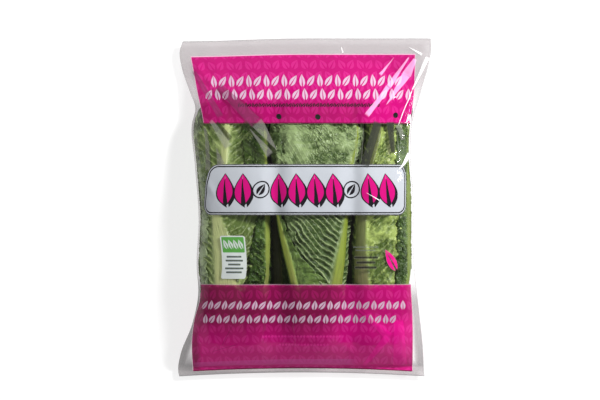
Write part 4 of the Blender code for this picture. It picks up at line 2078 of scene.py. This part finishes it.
@dataclass(frozen=True)
class FilmSkin:
    """The film itself: a closed skin of two sheets that meet at the seals and folds."""

    CHART_UNIT: ClassVar[float] = 100.0

    bag: BagForm
    columns: int = 178
    rows: int = 244
    gather: float = 0.6
    rim_powers: tuple[float, float] = (40.0, 60.0)
    sheets_apart: float = 0.0003
    weld: float = 0.00001
    noise_seed: int = 5
    slack: float = 0.45
    fine_slack: float = 0.20
    end_slack: float = 0.8
    print_half_width: float = 112.5
    print_left: Curve = ((-164, -113.3), (-150, -113.9), (-129, -113.5), (-109, -110.3), (-95, -106.2),
                         (-78, -105.0), (18, -105.5), (85, -101.9), (118, -108.8), (153, -115.3))
    print_right: Curve = ((-164, 109.3), (-110, 108.5), (-78, 106.7), (18, 107.0), (85, 106.5),
                          (118, 110.8), (153, 111.8))

    def _relief(self, x: Array, y: Array) -> Array:
        """Folds and slack of the front sheet, in metres.

        Args:
            x: places across.
            y: places up.

        Returns:
            The heights.
        """
        across, up = x / MM, y / MM
        noise = Noise(self.noise_seed)
        total = sum(fold.relief(across, up) for fold in FOLDS)
        total = total + self.slack * noise.swell(across / 16, up / 24)
        total = total + self.fine_slack * noise.swell(across / 6 + 3, up / 7)
        header = ease(100.0, 150.0, up)
        total = total + self.end_slack * header * noise.swell(across / 22 + up / 60, up / 70 + 9)
        foot = ease(-140.0, -160.0, up)
        total = total + self.end_slack * foot * noise.swell(across / 11, up / 18)
        return total * MM

    def _flat_across(self, x: Array, y: Array, z: Array) -> Array:
        """How far across the flat film each point is, in metres, so that the print follows the sheet.

        Args:
            x: places across.
            y: places up.
            z: heights of the sheet.

        Returns:
            Distances from the print's middle, measured along the sheet.
        """
        run = run_across(np.stack((x, z), axis=-1))
        edges = []
        for curve in (self.print_left, self.print_right):
            ends = curve_through(curve, y[:, 0] / MM) * MM
            edges.append(np.array([np.interp(end, *line) for end, *line in zip(ends, x, run)]))
        left, right = (edge[:, None] for edge in edges)
        return ((run - left) / (right - left) * 2 - 1) * self.print_half_width * MM

    def _loose(self, s: Array, x: Array, y: Array) -> Array:
        """How loosely the film hangs off the hearts: it is hazy there.

        Args:
            s: places across the sheet.
            x: places across.
            y: places up.

        Returns:
            From 0 where it is held to 1.
        """
        flank_power = np.where(s < 0, 8, 60)
        held = self.bag.fullness(x, y) * 3.0 * (1 - np.abs(s) ** flank_power)
        corners = ease(0.90, 0.96, np.abs(s)) * ease(-0.072, -0.100, y)
        return np.maximum(np.clip(1 - held, 0.0, 1.0), corners)

    def _shade_under_foot(self, x: Array, y: Array) -> Array:
        """Painted shade on the bottom band and the film round it, by places in millimetres: dark over the
        hearts' bases and on the flanks, less towards the seal and in the lit lower right corner, and a strip
        along the seal that is darker on the left.

        Args:
            x: places across.
            y: places up.

        Returns:
            From 0 for light to 1 for dark.
        """
        over_bases = ease(-64.0, -82.0, y)
        over_air = ease(-106.0, -142.0, y)
        lit_corner = ease(12.0, 62.0, x - 0.25 * (y + 110))
        lit_below = 0.50 + 0.50 * ease(-100.0, -128.0, y)
        shade = over_bases * (1 - 0.82 * over_air) * (1 - lit_corner * lit_below)
        left_flank = 0.8 * ease(-102.0, -110.0, x) * ease(-86.0, -104.0, y)
        right_flank = 0.45 * ease(106.0, 112.0, x) * ease(-84.0, -100.0, y)
        shade = np.maximum(np.maximum(shade, left_flank), right_flank)
        rim = ease(-164.0, -167.0, y) * (0.65 - 0.35 * ease(-60.0, 90.0, x))
        return np.maximum(shade * ease(-168.0, -165.0, y), rim)

    def _behind(self, x: Array, y: Array) -> Array:
        """Painted shade on the print and the film, by places in millimetres: under the bottom band, along a
        diagonal fold at the top left, and over the top band where the leaf tips lie under it.

        Args:
            x: places across.
            y: places up.

        Returns:
            From 0 for light to 1 for dark.
        """
        above_hearts = ease(60.0, 80.0, y)
        diagonal = x + (y - 118) * 1.05
        fold = ease(-98.0, -93.0, diagonal) * ease(-66.0, -74.0, diagonal) * ease(128.0, 112.0, y)
        tips = (0.35 + 0.3 * ease(116.0, 98.0, y) * ease(70.0, 50.0, x)) * above_hearts
        header = np.maximum(0.8 * fold * above_hearts, tips)
        return np.clip(np.maximum(self._shade_under_foot(x, y), header), 0.0, 1.0)

    def _sheet(self, side: Side) -> Piece:
        """Lays one sheet with its marks and its print map.

        Args:
            side: the front or the back.

        Returns:
            The sheet.
        """
        sheet = Sheet(f"film_{side.value}", self.columns, self.rows)
        s = (1 - self.gather) * sheet.across + self.gather * np.sin(np.pi / 2 * sheet.across)
        x, y = self.bag.plan(s, sheet.along)
        front, back = self.bag.heights(x, y)
        side_power, end_power = self.rim_powers
        rim = (1 - np.abs(s) ** side_power) * (1 - np.abs(sheet.along) ** end_power)
        middle = (front + back) / 2
        front = middle + (front - middle) * rim
        z = middle + (back - middle) * rim
        if side is Side.FRONT:
            z = np.maximum(front + self._relief(x, y) * rim, z + self.sheets_apart * rim)
        sheet.lay(np.stack((x, y, z), axis=-1))
        to_chart = 1 / (MM * self.CHART_UNIT)
        up = sheet.along * self.bag.length / 2
        sheet.chart("print_map", self._flat_across(x, y, z) * to_chart, up * to_chart)
        sheet.note("loose", self._loose(s, x, y))
        # Painted shade for the inks and the bare film.
        sheet.note("behind", self._behind(x / MM, y / MM))
        return sheet.piece

    def build(self, effects: Effects) -> Piece:
        """Lays both sheets, turns the back one over and closes the skin round its rim.

        Args:
            effects: the shared node groups.

        Returns:
            The film.
        """
        finish = FilmPrint()
        sheets = [self._sheet(side) for side in (Side.FRONT, Side.BACK)]
        edit_all(sheets[1], bpy.ops.mesh.flip_normals)
        for sheet, side in zip(sheets, (Side.FRONT, Side.BACK)):
            sheet.data.materials.append(finish.material(side, effects))
        film = joined(sheets, "printed_film")
        edit_all(film, bpy.ops.mesh.remove_doubles, threshold=self.weld)
        smooth_all(film)
        return film


@dataclass(frozen=True)
class SoftLight:
    """A soft light that faces the bag, with its place and size in metres and its power in watts."""

    name: str
    place: tuple[float, float, float]
    size: tuple[float, float]
    power: float
    shines: bool = False

    def add(self) -> Piece:
        """Adds the light: one that shines is seen in glossy surfaces and lights no matt ones.

        Returns:
            The light's object.
        """
        lamp = bpy.data.lights.new(self.name, "AREA")
        lamp.shape = "RECTANGLE"
        lamp.size, lamp.size_y = self.size
        lamp.energy = self.power
        holder = bpy.data.objects.new(self.name, lamp)
        holder.location = self.place
        bpy.context.scene.collection.objects.link(holder)
        holder.rotation_euler = (-holder.location).to_track_quat("-Z", "Y").to_euler()
        holder.visible_glossy = self.shines
        holder.visible_diffuse = not self.shines
        return holder


@dataclass(frozen=True)
class Studio:
    """Floor, soft lights and the camera that looks straight down on the bag."""

    pixel: float = 1.014 * MM
    image_width: int = 600
    view_centre: tuple[float, float] = (-0.0048, 0.0076)
    camera_height: float = 4.0
    print_height: float = 0.012
    sensor: float = 36.0
    farthest_seen: float = 20.0
    floor_size: float = 6.0
    floor_height: float = -0.0006
    floor_colour: Colour = (0.34, 0.34, 0.34)
    floor_glow: float = 0.68
    floor_roughness: float = 0.9
    key: SoftLight = SoftLight("key", (1.25, 0.95, 1.35), (0.45, 0.45), 68.0)
    fill: SoftLight = SoftLight("fill", (-1.3, -0.5, 1.6), (1.6, 1.6), 20.0)
    edge_glint: SoftLight = SoftLight("edge_glint", (2.0, 0.7, 0.55), (0.12, 0.6), 14.0, shines=True)
    sheen: SoftLight = SoftLight("sheen", (0.95, 0.85, 1.55), (0.5, 0.5), 17.0, shines=True)
    dim_sky: Colour = (0.16, 0.16, 0.16)
    bright_sky: Colour = (1.0, 1.0, 1.0)
    sky_right: tuple[float, float] = (-0.1, 0.5)
    sky_left: tuple[float, float] = (-0.3, -0.8)
    sky_left_share: float = 0.7
    sky_low: tuple[float, float] = (0.25, 0.0)
    sky_strength: float = 0.9

    def add_floor(self) -> None:
        """Adds the plain pale floor, which the film's gloss doesn't show."""
        bpy.ops.mesh.primitive_plane_add(size=self.floor_size, location=(0.0, 0.0, self.floor_height))
        floor = bpy.context.object
        floor.name = "floor"
        material, g, shader, _ = new_material("studio_floor")
        g.wire(shader, {"Base Color": self.floor_colour, "Roughness": self.floor_roughness})
        g.wire(shader, {"Emission Color": (1.0, 1.0, 1.0), "Emission Strength": self.floor_glow})
        shader.inputs["Specular IOR Level"].default_value = 0.0
        floor.data.materials.append(material)
        floor.visible_glossy = False

    def add_lights(self, leaves: list[Piece]) -> None:
        """Adds the lights, with a last one that gives the leaves alone their wet shine.

        Args:
            leaves: the leaves and stems.
        """
        for light in (self.key, self.fill, self.edge_glint):
            light.add()
        lit = bpy.data.collections.new("leaves")
        for leaf in leaves:
            lit.objects.link(leaf)
        self.sheen.add().light_linking.receiver_collection = lit

    def add_sky(self) -> None:
        """Adds a sky that is bright low on the right, less so low on the left and dim elsewhere."""
        world = bpy.data.worlds.new("studio")
        bpy.context.scene.world = world
        world.use_nodes = True
        g = Graph(world.node_tree)
        backdrop = world.node_tree.nodes["Background"]
        x, _, z = g.split(g.add("ShaderNodeTexCoord").outputs["Generated"])
        left = g.times(g.step(x, *self.sky_left), self.sky_left_share)
        aside = g.math("MAXIMUM", g.step(x, *self.sky_right), left)
        low = g.times(g.step(z, *self.sky_low), aside)
        sky = g.blend(low, self.dim_sky, self.bright_sky)
        g.wire(backdrop, {"Color": sky, "Strength": self.sky_strength})

    def add_camera(self) -> None:
        """Adds the camera, framed as the photograph is."""
        lens = bpy.data.cameras.new("camera")
        lens.sensor_width = self.sensor
        reach = self.camera_height - self.print_height
        lens.lens = self.sensor * reach / (self.image_width * self.pixel)
        lens.clip_end = self.farthest_seen
        holder = bpy.data.objects.new("camera", lens)
        holder.location = (*self.view_centre, self.camera_height)
        bpy.context.scene.collection.objects.link(holder)
        bpy.context.scene.camera = holder

    def build(self, leaves: list[Piece]) -> None:
        """Sets up the floor, the lights, the sky and the camera.

        Args:
            leaves: the leaves and stems.
        """
        self.add_floor()
        self.add_lights(leaves)
        self.add_sky()
        self.add_camera()
        bpy.context.scene.view_settings.view_transform = "Standard"


def main() -> None:
    """Builds the bag and its surroundings in order."""
    logging.basicConfig(level=logging.INFO, format="%(name)s %(message)s")
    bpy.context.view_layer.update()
    bpy.ops.object.select_all(action="DESELECT")
    bag = BagForm()
    effects = Effects()
    leaf_materials = {tone: tone.value.material(effects) for tone in LeafTone}
    builder = HeartBuilder(bag, leaf_materials, StemFinish().material(effects))
    leaves = []
    for heart in (LEFT_HEART, MIDDLE_HEART, RIGHT_HEART):
        leaves += builder.build(heart)
    for gap in GAP_LEAVES:
        leaves += builder.build(gap, with_stem=False)
    hand_over(FilmSkin(bag).build(effects))
    Studio().build(leaves)


if __name__ == "__main__":
    main()
